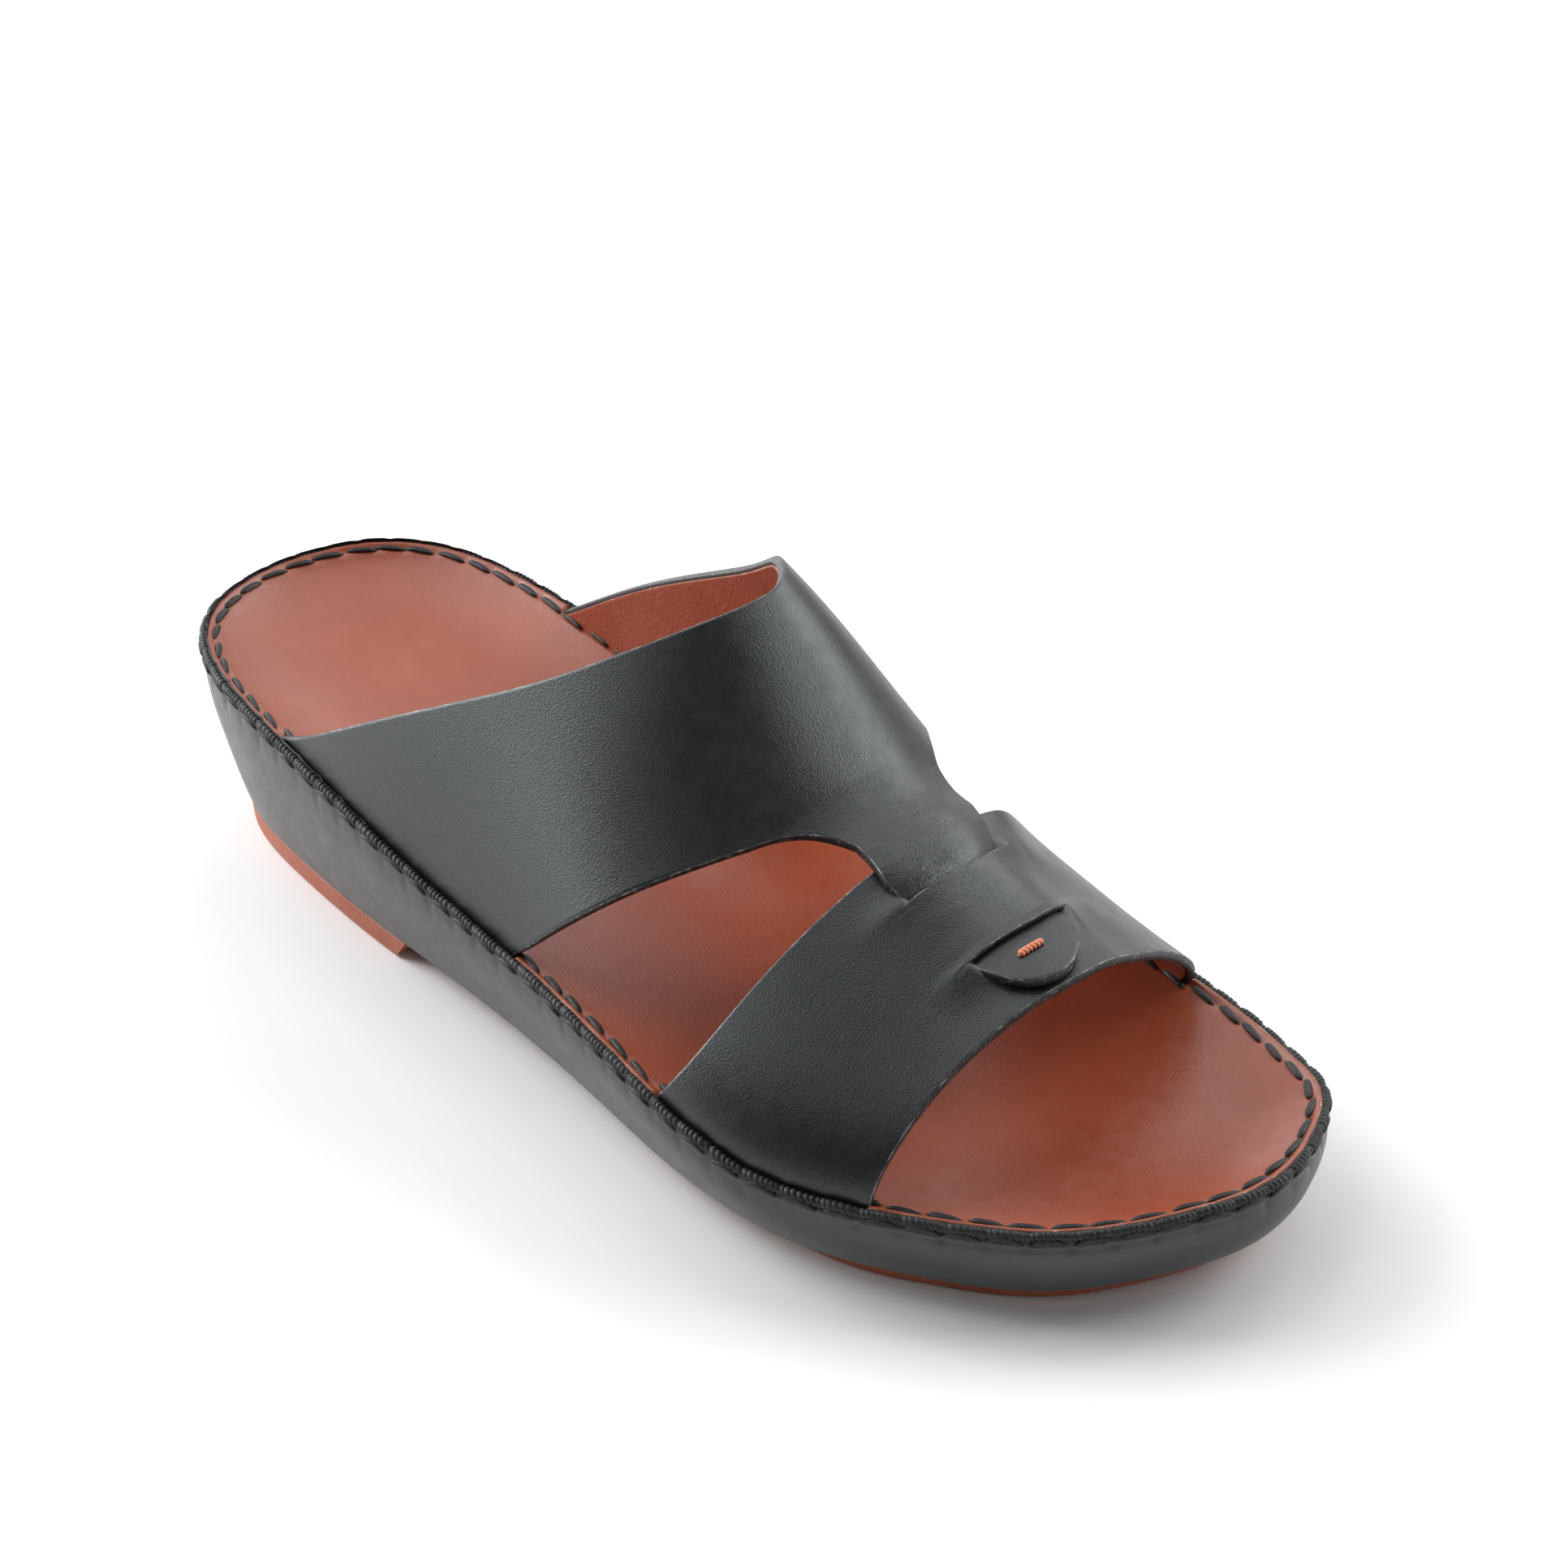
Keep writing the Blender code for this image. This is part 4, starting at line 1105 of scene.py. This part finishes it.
def make_rim_stitches():
    """Running stitch in the footbed's groove, further in beside the straps."""
    s = (np.arange(STITCH_COUNT) + 0.5) * STITCH_PITCH + spread(RIM_STITCH.shift)
    inset = STITCH_INSET + BESIDE_STRAP.inset * strap_cover(s, BESIDE_STRAP.room)
    inset = inset + spread(RIM_STITCH.inset)
    slant = spread(RIM_STITCH.slant)
    level = RIM_STITCH.level
    at = rim_point(s, inset, level)
    along = rim_point(s + STITCH_RUN, inset - slant, level) - rim_point(s - STITCH_RUN, inset + slant, level)
    inner = rim_point(s, inset + RIM_STITCH_TILT.reach, RIM_STITCH_TILT.inner)
    outer = rim_point(s, inset - RIM_STITCH_TILT.reach, RIM_STITCH_TILT.outer)
    up = np.cross(along, inner - outer)
    stitches("rim_stitches", at, along, up, stitch_sizes(RIM_STITCH), RIM_STITCH.bow)


def make_wall_stitches():
    """Stitches on the wall, just under the roll, bowed between their holes."""
    s = (np.arange(STITCH_COUNT) + spread(WALL_STITCH.shift)) * STITCH_PITCH
    level, tilt = spread(WALL_STITCH.level), spread(WALL_STITCH.tilt)
    inset = WALL_STITCH.inset
    at = rim_point(s, inset, level)
    along = rim_point(s + STITCH_RUN, inset, level + tilt) - rim_point(s - STITCH_RUN, inset, level - tilt)
    out = rim_point(s, -1.0) - rim_point(s, 1.0)
    out[:, 2] = 0.0
    sizes = stitch_sizes(WALL_STITCH)
    stitches("wall_stitches", at, along, out, sizes, WALL_STITCH.bow, WALL_STITCH.sag)


CORD = Values(
    ends=((89.5, -3.5), (89.6, 3.3)), strand=0.56, spread=0.25, turns=3.4, flat=0.7, height=0.36, dip=1.5,
    dip_power=14, steps=48, sides=9)


def make_tab_stitch():
    """Short stitch across the tab: two twisted strands with their ends in the leather."""
    steps, sides = CORD.steps, CORD.sides
    run = np.linspace(0.0, 1.0, steps + 1)
    x, y = (mix(*ends, run) for ends in zip(*CORD.ends))
    angle = angle_at(x, y)
    dip = CORD.dip * np.abs(2.0 * run - 1.0) ** CORD.dip_power
    normal = last_normal(x, angle)
    line = layer(x, angle, strip_lift(x, y) + CORD.height - dip)
    side = np.cross(normal, unit(np.gradient(line, axis=0)))
    turn = (np.arange(sides) * math.tau / sides)[None, :, None]
    points, faces = [], []
    for strand in range(2):
        spin = (math.tau * CORD.turns * run + strand * math.pi)[:, None]
        middle = line + CORD.spread * (np.cos(spin) * side + CORD.flat * np.sin(spin) * normal)
        tube = np.cos(turn) * side[:, None] + np.sin(turn) * normal[:, None]
        points.append((middle[:, None] + CORD.strand * tube).reshape(-1, 3))
        base = strand * (steps + 1) * sides
        faces += ring_quads(steps + 1, sides, base).tolist()
        faces += [[base + i for i in range(sides)][::-1], [base + steps * sides + i for i in range(sides)]]
    add_piece("tab_stitch", np.vstack(points), faces, [ORANGE], sharp_deg=70.0)


# Sole and heel
SOLE_EDGE = (
    # share of the height, further inset
    (0.0, 0.55), (0.07, 0.16), (0.22, 0.0), (0.8, 0.0), (0.94, 0.14), (1.0, 0.45),
)
HEEL_EDGE = (
    # share of the height, further inset
    (0.0, 0.6), (0.05, 0.16), (0.14, 0.0), (0.86, 0.0), (0.95, 0.12), (1.0, 0.45),
)


def part_loop(distance, start_x, end_x, steps=90):
    """Closed loop of an inset outline between two places along the shoe."""
    right = rim_point(ARC[:HALF_STEPS + 1], distance[:HALF_STEPS + 1])[:, :2]
    left = rim_point(ARC[HALF_STEPS:][::-1], np.append(distance[HALF_STEPS:], distance[0])[::-1])[:, :2]
    low, high = max(start_x, right[0, 0]), min(end_x, right[-1, 0])
    x = 0.5 * (low + high) - 0.5 * (high - low) * np.cos(np.linspace(0.0, math.pi, steps + 1))
    sides = [np.column_stack([x, np.interp(x, side[:, 0], side[:, 1])]) for side in (right, left)]
    return np.vstack([sides[0], sides[1][::-1]])


def plate(name, rings, finish, node):
    """Solid through loops from its underside to its top, closed across both ends."""
    count = len(rings[0])
    faces = ring_quads(len(rings), count).tolist()
    faces += [face[::-1] for face in cap_faces(0, count, 1)]
    faces += cap_faces((len(rings) - 1) * count, count, 1)
    points, faces = welded(np.vstack(rings), np.array(faces))
    made = add_piece(name, points, faces, [finish], sharp_deg=45.0)
    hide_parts(node)


def make_sole():
    x = LOOP[:, 0]
    waist = SOLE_WAIST.inset * smooth(x, *SOLE_WAIST.x)
    toe = SOLE_TOE.inset * smooth(x, *SOLE_TOE.x)
    rear = HEEL_BREAST[1] + GAP
    rings = []
    for share, extra in SOLE_EDGE:
        inset = mix(*SOLE_INSET, share) + waist + toe + extra
        plan = part_loop(inset, rear, TOE_X)
        low, high = tread_height(plan[:, 0]), base_height(plan[:, 0]) - GAP
        rings.append(np.column_stack([plan, mix(low, high, share)]))
    plate("sole", rings, TAN_SOLE, "outsole")


def make_heel():
    rings = []
    for share, extra in HEEL_EDGE:
        inset = np.full(len(LOOP), mix(*HEEL_INSET, share) + extra)
        breast = mix(*HEEL_BREAST, share) - extra
        plan = part_loop(inset, HEEL_X, breast)
        rings.append(np.column_stack([plan, np.full(len(plan), HEEL_LIFT * share)]))
    plate("heel", rings, TAN_SOLE, "heel_lift")


rear_strap = make_rear_strap()
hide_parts("upper")
make_rear_lining()
make_front_strap()
make_front_lining()
make_wall()
make_roll()
make_footbed()
make_rim_stitches()
make_wall_stitches()
make_tab_stitch()
make_sole()
make_heel()


# Studio
FLOOR = Values(half=3.0, z=-0.0001, patch=3.0, rough=(0.75, 0.85), depth=0.0001, strength=0.02)
FLOOR_STOPS = ((0.3, (0.90, 0.90, 0.91)), (0.7, (0.92, 0.92, 0.925)))
WORLD_STRENGTH = 0.01
LIGHT_REACH = 1.6
LIGHT_AIM = Vector((0.0, 0.0, 0.03))
BOX_SIZE = {14: (0.9, 0.6), 36: (0.9, 0.7), 60: (1.0, 0.9)}
SOFT_BOXES = {
    # elevation: azimuth from the toe towards the left side and watts of each
    14: ((30, 1.1), (60, 3.2), (120, 1.2), (150, 3.4), (180, 7.2), (210, 10.1), (240, 1.0)),
    36: ((60, 9.6), (90, 6.7), (120, 2.4), (180, 5.4), (210, 13.8), (330, 3.0)),
    60: ((120, 3.5), (180, 4.3), (240, 2.9)),
}


def add_floor():
    half, z = FLOOR.half, FLOOR.z
    mesh = bpy.data.meshes.new("floor")
    corners = [(-half, -half, z), (half, -half, z), (half, half, z), (-half, half, z)]
    mesh.from_pydata(corners, [], [(0, 1, 2, 3)])
    made, tree, shader, at = new_material("floor_paper", specular=0.2)
    patches = noise(tree, at, FLOOR.patch, 2.0)
    colour = ramp(tree, patches, FLOOR_STOPS)
    finish_material(tree, shader, colour, patches, FLOOR.rough, patches, FLOOR.depth, FLOOR.strength)
    mesh.materials.append(made)
    floor = add_object("floor", mesh)


def add_light(elevation, azimuth, watts):
    """Soft box on a dome around the shoe."""
    name = f"soft_box_{elevation}_{azimuth}"
    light = bpy.data.lights.new(name, "AREA")
    light.shape = "RECTANGLE"
    light.size, light.size_y = BOX_SIZE[elevation]
    light.energy = watts
    made = add_object(name, light)
    up, turn = math.radians(elevation), math.radians(azimuth)
    level = math.cos(up)
    made.location = LIGHT_REACH * Vector((level * math.cos(turn), level * math.sin(turn), math.sin(up)))
    made.rotation_euler = (LIGHT_AIM - made.location).to_track_quat("-Z", "Y").to_euler()


def add_studio():
    add_floor()
    world = bpy.data.worlds.new("studio")
    world.use_nodes = True
    tree = world.node_tree
    fill(tree, tree.nodes["Background"], {"Color": (1.0, 1.0, 1.0, 1.0), "Strength": WORLD_STRENGTH})
    bpy.context.scene.world = world
    for elevation, row in SOFT_BOXES.items():
        for azimuth, watts in row:
            add_light(elevation, azimuth, watts)
    bpy.context.scene.view_settings.view_transform = "Standard"


# Camera fitted to the photograph: its place, the point of the floor that it looks at, and its roll
CAMERA = Values(
    place=(0.51332, -0.47427, 0.46554), aim=(-0.0501, 0.07326, 0.0), roll=0.498,
    lens=93.18, sensor=36.0, near=0.01)


def add_camera():
    camera = bpy.data.cameras.new("camera")
    camera.lens = CAMERA.lens
    camera.sensor_width = CAMERA.sensor
    camera.clip_start = CAMERA.near
    made = add_object("camera", camera)
    made.location = CAMERA.place
    level = (Vector(CAMERA.aim) - made.location).to_track_quat("-Z", "Y")
    roll = Quaternion((0.0, 0.0, 1.0), math.radians(CAMERA.roll))
    made.rotation_euler = (level @ roll).to_euler()
    bpy.context.scene.camera = made


add_studio()
add_camera()
bpy.context.view_layer.update()
